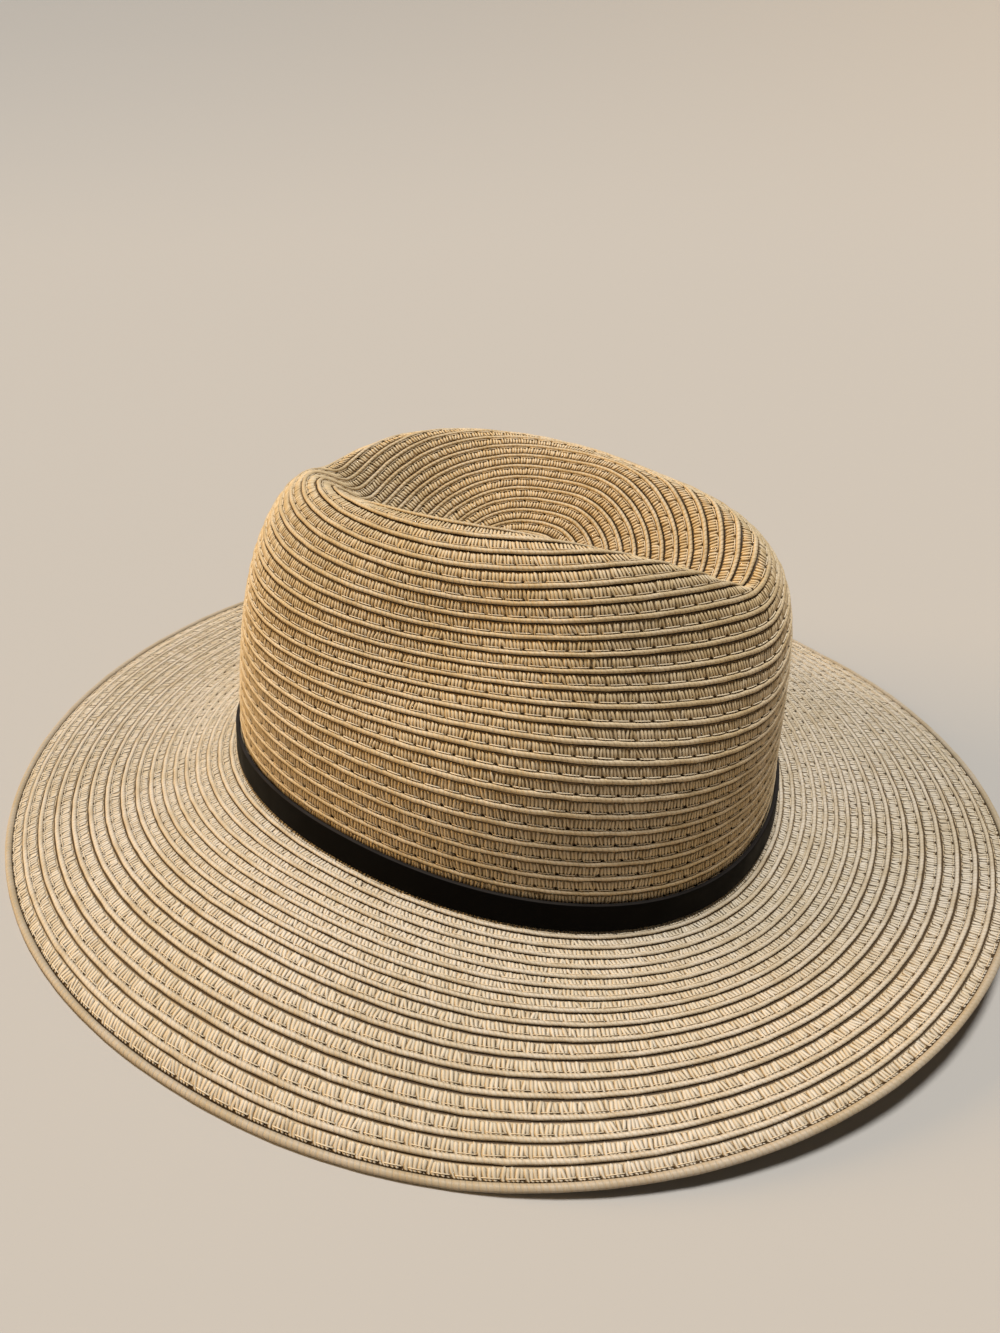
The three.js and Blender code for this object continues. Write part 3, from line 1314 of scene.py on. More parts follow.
    def loops_of(self, row: int, straw: Straw) -> MeshParts:
        """Lays the loops of one row side by side, bent at the top and near the stitches.

        Args:
            row: The row number.
            straw: One modelled loop.

        Returns:
            The row of loops.
        """
        line = self.sheet.row_line(row + self.loop_line)
        count = max(round(line.total / self.loop_pitch), 5)
        loop, play, rand = self.loop, self.play, self.random
        jitter = rand.uniform(-play.spacing, play.spacing, count)
        place = (np.arange(count) + jitter) * (line.total / count)
        share = place / line.total
        lean = play.lean.along(share, line.total, rand) + rand.normal(0, play.tangle, count)
        width = loop.width * rand.uniform(play.narrow, play.wide, count)
        lift = rand.normal(0, play.lift, count)
        lift = lift + play.lift_waves.along(share, line.total, rand)
        side, up, out = straw.points.T[:, None, :]
        top = loop.top + rand.uniform(play.short, play.tall, count)[:, None]
        height = loop.foot + up * (top - loop.foot)
        rings = loop.rings()
        body, ridge, bend, pressed = (
            np.interp(up, [ring.up for ring in rings], [getattr(ring, name) for ring in rings])
            for name in ("width", "ridge", "bend", "pressed")
        )
        spot = self.from_stitch(place, line, row)
        near = np.exp(-((spot / play.stitch_reach) ** 2)) * pressed
        sideways = side * width[:, None] * body + bend
        sideways = sideways + lean[:, None] * (height - 0.5) * play.row_width
        sideways = sideways + play.stitch_push * near * np.sign(spot)
        angle = line.angle_at(place)
        angle = angle[:, None] + sideways * line.turn_per_length(angle)[:, None]
        out = out * np.maximum(ridge + loop.sink + lift[:, None], loop.thin)
        out = out - loop.sink - play.stitch_dip * near
        tone = np.clip(rand.normal(0, play.tone, count), -1, 1)
        return stamp(self.sheet, straw, angle, row + 1 - height, out, place, tone)

    def from_stitch(self, place: np.ndarray, line: RowLine, row: int) -> np.ndarray:
        """Measures how far places in a row lie from the nearest end of a stitch.

        Args:
            place: The places, in millimetres along the row.
            line: The measured row.
            row: The row number.

        Returns:
            The distances, below 0 before the stitch's end, in a column.
        """
        stitches = self.stitches_in(line)
        spot = (place / line.total * stitches - self.holes[row] / self.thread.pitch) % 1
        return (np.where(spot > 0.5, spot - 1, spot) * line.total / stitches)[:, None]

    def build_thread(self) -> bpy.types.Object:
        """Lays the sewing thread: long stitches that dip at their ends.

        Returns:
            All the stitches, joined.
        """
        straw = Straw.modelled(STITCH_STATIONS)
        made = [self.stitches_of(row, straw) for row in self.rows]
        return object_from(self.named("thread"), self.packed(made))

    def stitches_of(self, row: int, straw: Straw) -> MeshParts:
        """Lays the stitches of one row.

        Args:
            row: The row number.
            straw: One modelled stitch, which is turned to lie along the row.

        Returns:
            The row of stitches.
        """
        thread, rand = self.thread, self.random
        middle = row + thread.place
        line = self.sheet.row_line(middle)
        count = self.stitches_in(line)
        pitch = line.total / count
        start = np.arange(count) + self.holes[row] / thread.pitch
        start = start + rand.uniform(-thread.spacing, thread.spacing, count)
        side, up, out = straw.points.T[:, None, :]
        length = ((1 - thread.cover) / 2 + thread.cover * up) * pitch
        angle = line.angle_at(start[:, None] * pitch + length)
        drift = rand.uniform(-thread.slant, thread.slant, count)[:, None] * (up - 0.5)
        rows = middle + (side * thread.width - drift) / self.row_width(line, middle)
        out = np.interp(up, STITCH_STATIONS, STITCH_ARCH) + out * thread.thick
        tone = np.clip(rand.normal(thread.tone, thread.tone_spread, count), -1, 1)
        return stamp(self.sheet, straw, angle, rows, out, start * pitch, tone)


# ---------------------------------------------------------------- edge cord and band


@dataclass
class BrimEdge:
    """The thicker cord that finishes the brim, flat where it lies on the ground."""

    form: HatForm
    radius: float = 1.1
    step: float = 2.2
    sides: int = 12
    seed: int = 5
    swell: Waves = Waves(0.04, (12, 27, 55))
    tone: Waves = Waves(0.45, (12, 27, 55))

    def build(self) -> bpy.types.Object:
        """Models the cord as a torus laid along the edge.

        Returns:
            The cord.
        """
        form = self.form
        angles = np.linspace(0, TURN, 2881)
        lengths = lengths_along(form.brim_point(angles, form.edge_reach(angles)))
        total = float(lengths[-1])
        ring = Ring.modelled(round(total / self.step), self.sides)
        angle = np.interp(ring.round_hat * total, lengths, angles)
        random = np.random.default_rng(self.seed)
        radius = self.radius * (1 + self.swell.along(ring.round_hat, total, random))
        outwards = form.edge_reach(angle) + np.cos(ring.round_cord) * radius
        plan = form.oval(angle) + form.oval_normal(angle) * outwards[:, None]
        height = np.maximum(form.edge_height(angle) + np.sin(ring.round_cord) * radius, 0)
        points = np.concatenate([plan, height[:, None]], 1)
        tone = self.tone.along(ring.round_hat, total, random)
        return object_from("edge_cord", ring.laid(points, total, tone, 1 / (1 + 1 / self.sides)))


@dataclass
class LeatherBand:
    """The narrow leather band round the foot of the crown, with rounded cut edges."""

    form: HatForm
    width: float = 9.5
    thickness: float = 1.4
    lift: float = 0.6
    stand_off: float = 0.75
    columns: int = 288
    cuts: tuple[float, ...] = (-0.6, -0.2, 0.2, 0.6)
    bevel: float = 0.3
    bevel_steps: int = 3
    bevel_angle: float = 50
    smooth_angle: float = 40

    def build(self) -> bpy.types.Object:
        """Models the band from an open ring: placed, thickened and bevelled.

        Returns:
            The band.
        """
        deselect_all()
        bpy.ops.mesh.primitive_cylinder_add(
            vertices=self.columns, radius=1, depth=2, end_fill_type="NOTHING"
        )
        band = bpy.context.object
        band.name = "leather_strap"
        band.data.name = band.name
        self.add_rows(band)
        flat = points_of(band.data)
        angle, share = np.arctan2(flat[:, 1], flat[:, 0]) % TURN, (flat[:, 2] + 1) / 2
        set_points(band.data, self.on_crown(angle, share) * MM)
        self.map_band(band, angle, share)
        band.data.update()
        make_active(band)
        bpy.ops.object.mode_set(mode="EDIT")
        bpy.ops.mesh.select_all(action="SELECT")
        bpy.ops.mesh.normals_make_consistent(inside=False)
        bpy.ops.object.mode_set(mode="OBJECT")
        thick = band.modifiers.new("thickness", "SOLIDIFY")
        thick.thickness = self.thickness * MM
        thick.offset = 1
        bpy.ops.object.modifier_apply(modifier=thick.name)
        soft = band.modifiers.new("cut edges", "BEVEL")
        soft.width = self.bevel * MM
        soft.segments = self.bevel_steps
        soft.limit_method = "ANGLE"
        soft.angle_limit = math.radians(self.bevel_angle)
        bpy.ops.object.modifier_apply(modifier=soft.name)
        bpy.ops.object.shade_smooth_by_angle(angle=math.radians(self.smooth_angle))
        return band

    def add_rows(self, band: bpy.types.Object) -> None:
        """Cuts the open ring into rows of faces, so that it can follow the crown.

        Args:
            band: The ring, from z = -1 to z = 1.
        """
        make_active(band)
        bpy.ops.object.mode_set(mode="EDIT")
        for height in self.cuts:
            bpy.ops.mesh.select_all(action="SELECT")
            bpy.ops.mesh.bisect(plane_co=(0, 0, height), plane_no=(0, 0, 1))
        bpy.ops.object.mode_set(mode="OBJECT")

    def on_crown(self, angle: np.ndarray, share: np.ndarray) -> np.ndarray:
        """Gives points of the band's back on the crown.

        Args:
            angle: Angles round the hat.
            share: From 0 at the band's lower edge to 1 at its upper edge.

        Returns:
            Points, in millimetres.
        """
        travel = np.linspace(0, 0.25, 200)
        points = np.empty((len(angle), 3))
        for i, (turn, part) in enumerate(zip(angle, share)):
            line = self.form.crown_point(np.full(travel.shape, turn), travel)
            lengths = lengths_along(line)
            wanted = self.lift + part * self.width
            points[i] = [np.interp(wanted, lengths, line[:, axis]) for axis in range(3)]
        points[:, :2] += self.form.oval_normal(angle) * self.stand_off
        return points

    @staticmethod
    def map_band(band: bpy.types.Object, angle: np.ndarray, share: np.ndarray) -> None:
        """Gives the band a map that runs along it and across it.

        Args:
            band: The band, still one face thick.
            angle: The angles of its points round the hat.
            share: Their shares of the way up the band.
        """
        clear_maps(band.data)
        corners, counts = corners_of(band.data)
        at = wrapped(angle[corners] / TURN, counts)
        set_map(band.data, LAY_MAP, np.stack([at * TURN, share[corners]], 1))


# ---------------------------------------------------------------- finishes


Colour = tuple[float, float, float]
Place = tuple[float, float, float]
Socket = bpy.types.NodeSocket


@dataclass(frozen=True)
class StrawFinish:
    """A finish of straw: pale and warm shades, a dark one, and how smooth it is.

    along and across say how fine its fibres are, turns is how often a cord turns for each
    millimetre, and grain is how deep fibres and turns look.
    """

    name: str
    pale: Colour = (0.555, 0.48, 0.37)
    warm: Colour = (0.49, 0.41, 0.285)
    dark: Colour = (0.31, 0.22, 0.12)
    roughness: float = 0.55
    turns: float = 0
    grain: float = 0.35
    along: float = 4
    across: float = 2


@dataclass(frozen=True)
class LeatherFinish:
    """A finish of smooth dark leather."""

    name: str = "black_brown_leather"
    colour: Colour = (0.0014, 0.0011, 0.0009)
    worn: Colour = (0.02, 0.017, 0.015)
    roughness: float = 0.5


class NodeBoard:
    """A node tree with short ways to add nodes and link them."""

    def __init__(self, tree: bpy.types.NodeTree) -> None:
        """Keeps the tree."""
        self.tree = tree

    def add(self, kind: str, **settings: object) -> bpy.types.Node:
        """Adds a node.

        Args:
            kind: The node's type, without the leading ShaderNode.
            settings: Its properties.

        Returns:
            The node.
        """
        node = self.tree.nodes.new(kind if kind.startswith("Node") else f"ShaderNode{kind}")
        for name, value in settings.items():
            setattr(node, name, value)
        return node

    def link(self, source: Socket, target: Socket) -> None:
        """Links an output to an input."""
        self.tree.links.new(source, target)

    def give(self, socket: Socket, value: object) -> None:
        """Links a socket to an input, or sets the input to a number or a colour.

        Args:
            socket: The input.
            value: What it is given.
        """
        if isinstance(value, Socket):
            self.link(value, socket)
        elif isinstance(value, tuple):
            socket.default_value = (*value, 1)
        else:
            socket.default_value = value

    def feed(self, node: bpy.types.Node, *values: object) -> bpy.types.Node:
        """Gives a node's inputs their values in order.

        Args:
            node: The node.
            values: Sockets, numbers or colours.

        Returns:
            The node.
        """
        for socket, value in zip(node.inputs, values):
            self.give(socket, value)
        return node

    def fit(self, node: bpy.types.Node, **values: object) -> bpy.types.Node:
        """Gives a node's inputs their values by name.

        Args:
            node: The node.
            values: Sockets, numbers or colours, with _ in the names for spaces.

        Returns:
            The node.
        """
        for name, value in values.items():
            self.give(node.inputs[name.replace("_", " ")], value)
        return node

    def math(self, operation: str, *values: object) -> Socket:
        """Adds a Math node."""
        return self.feed(self.add("Math", operation=operation), *values).outputs[0]

    def ramp(self, value: Socket, low: float, high: float, to_low: float = 0,
             to_high: float = 1) -> Socket:
        """Adds a clamped Map Range node with a smooth step.

        Args:
            value: The value to map.
            low: Where the step starts.
            high: Where it ends.
            to_low: The output at the start.
            to_high: The output at the end.

        Returns:
            The mapped value.
        """
        node = self.add("MapRange", interpolation_type="SMOOTHSTEP")
        return self.feed(node, value, low, high, to_low, to_high).outputs["Result"]

    def band(self, value: Socket, start: float, full: float, fade: float, end: float) -> Socket:
        """Adds a smooth band that is 0 outside it and 1 in its middle.

        Args:
            value: The value to map.
            start: Where the band starts.
            full: Where it reaches 1.
            fade: Where it leaves 1.
            end: Where it ends.

        Returns:
            The band.
        """
        rising, falling = self.ramp(value, start, full), self.ramp(value, fade, end, 1, 0)
        return self.math("MULTIPLY", rising, falling)

    def mix(self, share: object, low: object, high: object) -> Socket:
        """Adds a colour Mix node.

        Args:
            share: How much of the second colour there is.
            low: The first colour.
            high: The second colour.

        Returns:
            The mixed colour.
        """
        node = self.add("Mix", data_type="RGBA")
        inputs = {socket.identifier: socket for socket in node.inputs}
        for name, value in (("Factor_Float", share), ("A_Color", low), ("B_Color", high)):
            self.give(inputs[name], value)
        return next(s for s in node.outputs if s.identifier == "Result_Color")

    def noise(self, place: Socket, scale: float, detail: float = 2) -> Socket:
        """Adds a Noise Texture node."""
        node = self.fit(self.add("TexNoise"), Vector=place, Scale=scale, Detail=detail)
        return node.outputs["Fac"]

    def split(self, place: Socket) -> tuple[Socket, Socket]:
        """Gives the x and y of a vector."""
        parts = self.feed(self.add("SeparateXYZ"), place).outputs
        return parts["X"], parts["Y"]

    def lay(self) -> Socket:
        """Gives the map that follows the straw."""
        return self.add("UVMap", uv_map=LAY_MAP).outputs["UV"]

    def object_place(self) -> Socket:
        """Gives the place on the object."""
        return self.add("TexCoord").outputs["Object"]

    def use(self, group: bpy.types.NodeTree, **values: object) -> Socket:
        """Places a group of nodes.

        Args:
            group: The group.
            values: What its inputs are given, by name.

        Returns:
            Its first output.
        """
        node = self.add("Group")
        node.node_tree = group
        return self.fit(node, **values).outputs[0]

    def bump(self, height: Socket, strength: float, depth: float) -> Socket:
        """Adds a Bump node, with its depth in millimetres."""
        node = self.fit(self.add("Bump"), Strength=strength, Distance=depth * MM, Height=height)
        return node.outputs["Normal"]


class Effects:
    """Shader node groups that several finishes share."""

    def __init__(self) -> None:
        """Builds the groups once."""
        self.straw_tint = self.build_straw_tint()
        self.fibre = self.build_fibre()
        self.twist = self.build_twist()
        self.braid = self.build_braid()

    @staticmethod
    def new_group(name: str, output: str,
                  **inputs: str) -> tuple[NodeBoard, dict[str, Socket], Socket]:
        """Starts a node group.

        Args:
            name: Its name.
            output: The name and type of its output, with a space between them.
            inputs: The types of its inputs, without the leading NodeSocket.

        Returns:
            Its board, its inputs by name and its output.
        """
        tree = bpy.data.node_groups.new(name, "ShaderNodeTree")
        for socket, kind in inputs.items():
            tree.interface.new_socket(socket, in_out="INPUT", socket_type=f"NodeSocket{kind}")
        socket, kind = output.split()
        tree.interface.new_socket(socket, in_out="OUTPUT", socket_type=f"NodeSocket{kind}")
        board = NodeBoard(tree)
        given = board.add("NodeGroupInput").outputs
        return board, {name: given[name] for name in inputs}, board.add("NodeGroupOutput").inputs[0]

    def build_straw_tint(self) -> bpy.types.NodeTree:
        """Builds the colour of straw: a tone for each straw, and slow drifts between hues.

        Returns:
            The group.
        """
        board, given, result = self.new_group(
            "straw_tint", "Color Color", Pale="Color", Warm="Color", Dark="Color", Tone="Float",
            Place="Vector",
        )
        drift = board.noise(given["Place"], scale=22, detail=3)
        fine = board.noise(given["Place"], scale=260)
        hue = board.math("MULTIPLY_ADD", given["Tone"], 0.25, drift)
        hue = board.ramp(board.math("MULTIPLY_ADD", fine, 0.5, hue), 0.5, 1)
        straw = board.mix(hue, given["Warm"], given["Pale"])
        shade = board.ramp(given["Tone"], low=-1.1, high=0.2, to_low=0.42, to_high=0)
        board.link(board.mix(shade, straw, given["Dark"]), result)
        return board.tree

    def build_fibre(self) -> bpy.types.NodeTree:
        """Builds fine fibres that run along a straw, from its map.

        Returns:
            The group.
        """
        board, given, result = self.new_group(
            "straw_fibre", "Height Float", Lay="Vector", Along="Float", Across="Float"
        )
        x, y = board.split(given["Lay"])
        along = board.math("MULTIPLY", x, given["Along"])
        across = board.math("MULTIPLY", y, given["Across"])
        place = board.feed(board.add("CombineXYZ"), along, across).outputs[0]
        board.link(board.noise(place, scale=1), result)
        return board.tree

    def build_twist(self) -> bpy.types.NodeTree:
        """Builds the turns of a twisted cord, from a map of millimetres along and turns round.

        Returns:
            The group.
        """
        board, given, result = self.new_group(
            "cord_twist", "Height Float", Lay="Vector", Turns="Float"
        )
        x, y = board.split(given["Lay"])
        wobble = board.noise(given["Lay"], scale=0.5)
        turned = board.math("MULTIPLY_ADD", x, given["Turns"], y)
        turned = board.math("MULTIPLY_ADD", wobble, 0.5, turned)
        groove = board.math("PINGPONG", turned, 0.5)
        board.link(board.ramp(groove, 0, 0.3), result)
        return board.tree

    def build_braid(self) -> bpy.types.NodeTree:
        """Builds the flat pattern of a braid's back: cord, loops, stitches and holes.

        Its map counts stitches along a row and rows across it.

        Returns:
            The group, which gives the height of the pattern, from 0 to 1.
        """
        board, given, result = self.new_group("braid_pattern", "Height Float", Lay="Vector")
        x, y = board.split(given["Lay"])
        across = board.math("FRACT", y)
        wobble = board.noise(given["Lay"], scale=2.2)
        loops_in_stitch, wander, slope = 5.5, 1.6, 0.6
        teeth = board.math("MULTIPLY", x, loops_in_stitch)
        teeth = board.math("MULTIPLY_ADD", wobble, wander, teeth)
        teeth = board.math("MULTIPLY_ADD", across, slope, teeth)
        loop = board.ramp(board.math("PINGPONG", teeth, 0.5), 0.02, 0.3)
        loops = board.math("MULTIPLY", loop, board.band(across, 0, 0.08, 0.62, 0.7))
        cord = board.band(across, 0.74, 0.82, 0.94, 1)
        stitch = board.ramp(board.math("PINGPONG", x, 0.5), 0.03, 0.1)
        thread = board.math("MULTIPLY", board.band(across, 0.64, 0.68, 0.7, 0.74), stitch)
        height = board.math("MAXIMUM", loops, cord)
        height = board.math("MAXIMUM", height, board.math("MULTIPLY", thread, 0.8))
        board.link(height, result)
        return board.tree


@dataclass
class Wardrobe:
    """Makes the materials of the hat from its finishes."""

    effects: Effects

    @staticmethod
    def blank(name: str) -> tuple[bpy.types.Material, NodeBoard, bpy.types.Node]:
        """Starts a material.

        Args:
            name: Its name.

        Returns:
            The material, its board and its Principled BSDF.
        """
        material = bpy.data.materials.new(name)
        material.use_nodes = True
        board = NodeBoard(material.node_tree)
        return material, board, material.node_tree.nodes["Principled BSDF"]

    def tinted(self, board: NodeBoard, finish: StrawFinish) -> Socket:
        """Adds the straw's colour.

        Args:
            board: The material's board.
            finish: The finish.

        Returns:
            The colour.
        """
        tone = board.add("Attribute", attribute_name=TONE).outputs["Fac"]
        return board.use(self.effects.straw_tint, Pale=finish.pale, Warm=finish.warm,
                         Dark=finish.dark, Tone=tone, Place=board.object_place())

    def straw(self, finish: StrawFinish) -> bpy.types.Material:
        """Makes the finish of loops, cords or thread.

        Args:
            finish: The finish.

        Returns:
            The material.
        """
        material, board, shader = self.blank(finish.name)
        height = board.use(self.effects.fibre, Lay=board.lay(), Along=finish.along,
                           Across=finish.across)
        streak = board.ramp(height, low=0.3, high=0.62, to_low=0.24, to_high=0)
        colour = board.mix(streak, self.tinted(board, finish), finish.dark)
        if finish.turns:
            twist = board.use(self.effects.twist, Lay=board.lay(), Turns=finish.turns)
            # Painted shade: the cord is painted darker in the grooves of its twist.
            groove = board.ramp(twist, low=0, high=1, to_low=0.3, to_high=0)
            colour = board.mix(groove, colour, finish.dark)
            height = board.math("MULTIPLY_ADD", twist, 1.2, height)
        normal = board.bump(height, strength=finish.grain, depth=0.12)
        board.fit(shader, Base_Color=colour, Normal=normal, Roughness=finish.roughness,
                  Specular_IOR_Level=0.35)
        return material

    def gap(self, finish: StrawFinish) -> bpy.types.Material:
        """Makes the painted shade of the wall between the loops, darkest under cord and thread.

        Args:
            finish: The finish.

        Returns:
            The material.
        """
        material, board, shader = self.blank(finish.name)
        across = board.math("FRACT", board.split(board.lay())[1])
        # Painted shade: outside this band, under the cords and the thread, the wall is painted near
        # black.
        lit = board.band(across, 0.03, 0.1, 0.52, 0.62)
        colour = board.mix(lit, finish.dark, self.tinted(board, finish))
        board.fit(shader, Base_Color=colour, Roughness=finish.roughness, Specular_IOR_Level=0.1)
        return material

    def underside(self, finish: StrawFinish) -> bpy.types.Material:
        """Makes the finish of the braid's back, with its loops, cords and stitches, and painted
        shade in its holes.

        Args:
            finish: The finish.

        Returns:
            The material.
        """
        material, board, shader = self.blank(finish.name)
        height = board.use(self.effects.braid, Lay=board.lay())
        hole = board.math("SUBTRACT", 1, height)
        # Painted shade: the low places of the pattern, its holes and the gaps between loops, are
        # painted towards a deep brown.
        shade = board.ramp(hole, low=0.15, high=1, to_low=0, to_high=0.85)
        deepest = 0.42
        deep = tuple(deepest * part for part in finish.dark)
        colour = board.mix(shade, self.tinted(board, finish), deep)
        normal = board.bump(height, strength=0.9, depth=0.5)
        board.fit(shader, Base_Color=colour, Normal=normal, Roughness=finish.roughness,
                  Specular_IOR_Level=0.3)
        return material

    def leather(self, finish: LeatherFinish) -> bpy.types.Material:
        """Makes the smooth leather, a little paler along its cut edges.

        Args:
            finish: The finish.

        Returns:
            The material.
        """
        material, board, shader = self.blank(finish.name)
        place = board.object_place()
        rub = board.noise(place, scale=90, detail=4)
        middle = board.math("SUBTRACT", board.split(board.lay())[1], 0.5)
        edge = board.ramp(board.math("ABSOLUTE", middle), 0.485, 0.5)
        rubbed = board.ramp(rub, low=0.2, high=0.7, to_low=0.6, to_high=1)
        worn = board.math("MULTIPLY", edge, rubbed)
        pores = board.fit(board.add("TexVoronoi"), Vector=place, Scale=1400).outputs["Distance"]
        duller = 0.14
        rough = board.ramp(rub, 0.3, 0.7, finish.roughness, finish.roughness + duller)
        board.fit(shader, Base_Color=board.mix(worn, finish.colour, finish.worn),
                  Normal=board.bump(pores, strength=0.115, depth=0.08), Roughness=rough,
                  Specular_IOR_Level=0.04)
        return material

    def plain(self, name: str, colour: Colour, roughness: float) -> bpy.types.Material:
        """Makes a plain material for the floor.

        Args:
            name: Its name.
            colour: Its colour.
            roughness: How rough it is.

        Returns:
            The material.
        """
        material, board, shader = self.blank(name)
        board.fit(shader, Base_Color=colour, Roughness=roughness, Specular_IOR_Level=0)
        return material


# ---------------------------------------------------------------- studio


@dataclass(frozen=True)
class Sun:
    """A sunlight: its strength, its spread in degrees, its colour and where it shines from."""

    name: str
    strength: float
    spread: float
    colour: Colour
    place: Place


@dataclass
class Studio:
    """The floor, the lights and the camera."""

    floor_radius: float = 1.2
    floor_sides: int = 96
    floor_colour: Colour = (0.36, 0.335, 0.3)
    sweep_radius: float = 3.5
    sweep_angle: float = 65
    sweep_steps: int = 12
    azimuth: float = -58.82
    elevation: float = 32.51
    roll: float = 1.633
    distance: float = 0.34014
    aim: Place = (0, 0, 0.06)
    slide: tuple[float, float] = (-0.003068, -0.011204)
    lens: float = 25.813
    sensor: float = 36
    nearest: float = 0.01
    furthest: float = 20
    faint: Colour = (1, 0.95, 0.9)
    faint_strength: float = 0.05
    backdrop: Colour = (0.3, 0.272, 0.25)
    lit_point: Place = (0, 0, 0.05)
    suns: tuple[Sun, ...] = (
        Sun("key", strength=4.4, spread=13, colour=(0.97, 0.98, 1), place=(0.2, 0.13, 2.2)),
        Sun("side", strength=3, spread=30, colour=(1, 0.66, 0.29), place=(-0.85, 1.8, 0.75)),
    )

    def build(self, wardrobe: Wardrobe) -> None:
        """Builds the studio.

        Args:
            wardrobe: Where the floor's material is made.
        """
        self.build_floor(wardrobe)
        self.build_world()
        self.build_lights()
        self.build_camera()

    def build_floor(self, wardrobe: Wardrobe) -> None:
        """Lays a plain pale floor that sweeps up all round into a low wall.

        Args:
            wardrobe: Where its material is made.
        """
        deselect_all()
        bpy.ops.mesh.primitive_circle_add(
            vertices=self.floor_sides, radius=self.floor_radius, fill_type="NGON"
        )
        floor = bpy.context.object
        floor.name = "floor"
        bpy.ops.object.mode_set(mode="EDIT")
        bpy.ops.mesh.select_all(action="SELECT")
        bpy.ops.mesh.region_to_loop()
        radius, height = self.floor_radius, 0.0
        for step in range(1, self.sweep_steps + 1):
            turn = math.radians(self.sweep_angle) * step / self.sweep_steps
            wider = self.floor_radius + self.sweep_radius * math.sin(turn)
            higher = self.sweep_radius * (1 - math.cos(turn))
            bpy.ops.mesh.extrude_edges_move()
            bpy.ops.transform.resize(
                value=(wider / radius, wider / radius, 1), center_override=(0, 0, height)
            )
            bpy.ops.transform.translate(value=(0, 0, higher - height))
            radius, height = wider, higher
        bpy.ops.object.mode_set(mode="OBJECT")
        bpy.ops.object.shade_smooth_by_angle(angle=math.radians(30))
        floor.data.materials.append(wardrobe.plain("floor_paper", self.floor_colour, 0.9))
        floor.visible_shadow = False

    def build_world(self) -> None:
        """Sets a faint even light, and a pale backdrop that shows above the floor's wall."""
        world = bpy.data.worlds.new("studio")
        world.use_nodes = True
        nodes, links = world.node_tree.nodes, world.node_tree.links
        faint = nodes["Background"]
        faint.inputs["Color"].default_value = (*self.faint, 1)
        faint.inputs["Strength"].default_value = self.faint_strength
        backdrop = nodes.new("ShaderNodeBackground")
        backdrop.inputs["Color"].default_value = (*self.backdrop, 1)
        chosen = nodes.new("ShaderNodeMixShader")
        links.new(nodes.new("ShaderNodeLightPath").outputs["Is Camera Ray"], chosen.inputs[0])
        links.new(faint.outputs[0], chosen.inputs[1])
        links.new(backdrop.outputs[0], chosen.inputs[2])
        links.new(chosen.outputs[0], nodes["World Output"].inputs["Surface"])
        bpy.context.scene.world = world

    def build_lights(self) -> None:
        """Hangs a key light above and a warm one behind the hat's right, facing the hat."""
        for sun in self.suns:
            light = bpy.data.lights.new(sun.name, "SUN")
            light.energy = sun.strength
            light.angle = math.radians(sun.spread)
            light.color = sun.colour
            lamp = bpy.data.objects.new(sun.name, light)
            lamp.location = sun.place
            towards = Vector(self.lit_point) - Vector(sun.place)
            lamp.rotation_euler = towards.to_track_quat("-Z", "Y").to_euler()
            bpy.context.collection.objects.link(lamp)

    def build_camera(self) -> None:
        """Sets the camera at its angle above the floor, looking at the hat."""
        turn, rise, roll = (math.radians(v) for v in (self.azimuth, self.elevation, self.roll))
        level = Vector((math.sin(turn), -math.cos(turn), 0)) * math.cos(rise)
        back = level + Vector((0, 0, math.sin(rise)))
        right = Vector((math.cos(turn), math.sin(turn), 0))
        up = back.cross(right)
        side = right * math.cos(roll) + up * math.sin(roll)
        head = up * math.cos(roll) - right * math.sin(roll)
        data = bpy.data.cameras.new("camera")
        data.lens = self.lens
        data.sensor_width = self.sensor
        data.clip_start = self.nearest
        data.clip_end = self.furthest
        camera = bpy.data.objects.new("camera", data)
        slid = side * self.slide[0] + head * self.slide[1]
        camera.location = Vector(self.aim) + slid + back * self.distance
        camera.rotation_mode = "QUATERNION"
        axes = [[side[i], head[i], back[i]] for i in range(3)]
        camera.rotation_quaternion = Matrix(axes).to_quaternion()
        bpy.context.collection.objects.link(camera)
        bpy.context.scene.camera = camera


# ---------------------------------------------------------------- the hat


@dataclass(frozen=True)
class BraidFinishes:
    """The finishes of one region of braid; the gap finish is painted shade on the wall between the
    straws.
    """

    slot: str
    gap: StrawFinish
    cords: StrawFinish
    loops: StrawFinish


CROWN_FINISHES = BraidFinishes(
    slot="straw_crown",
    # Painted shade: the wall under the crown's braid is the same straw, painted dark brown and near
    # black under the cords.
    gap=StrawFinish(
        "straw_gap_painted_shade", pale=(0.26, 0.175, 0.09), warm=(0.23, 0.15, 0.07), dark=(0.042, 0.024, 0.01)
    ),
    # Painted warm light: the crown's cords and loops are the brim's straw, given more golden
    # colours for the warm light on the crown's walls.
    cords=StrawFinish(
        "straw_crown_cords", pale=(0.53, 0.42, 0.27), warm=(0.47, 0.35, 0.185),
        dark=(0.28, 0.19, 0.09), turns=0.6, grain=0.7, along=1.6, across=1,
    ),
    loops=StrawFinish(
        "straw_crown_loops", pale=(0.59, 0.47, 0.305), warm=(0.53, 0.395, 0.21),
        dark=(0.28, 0.19, 0.09), grain=0.5, across=2.2,
    ),
)
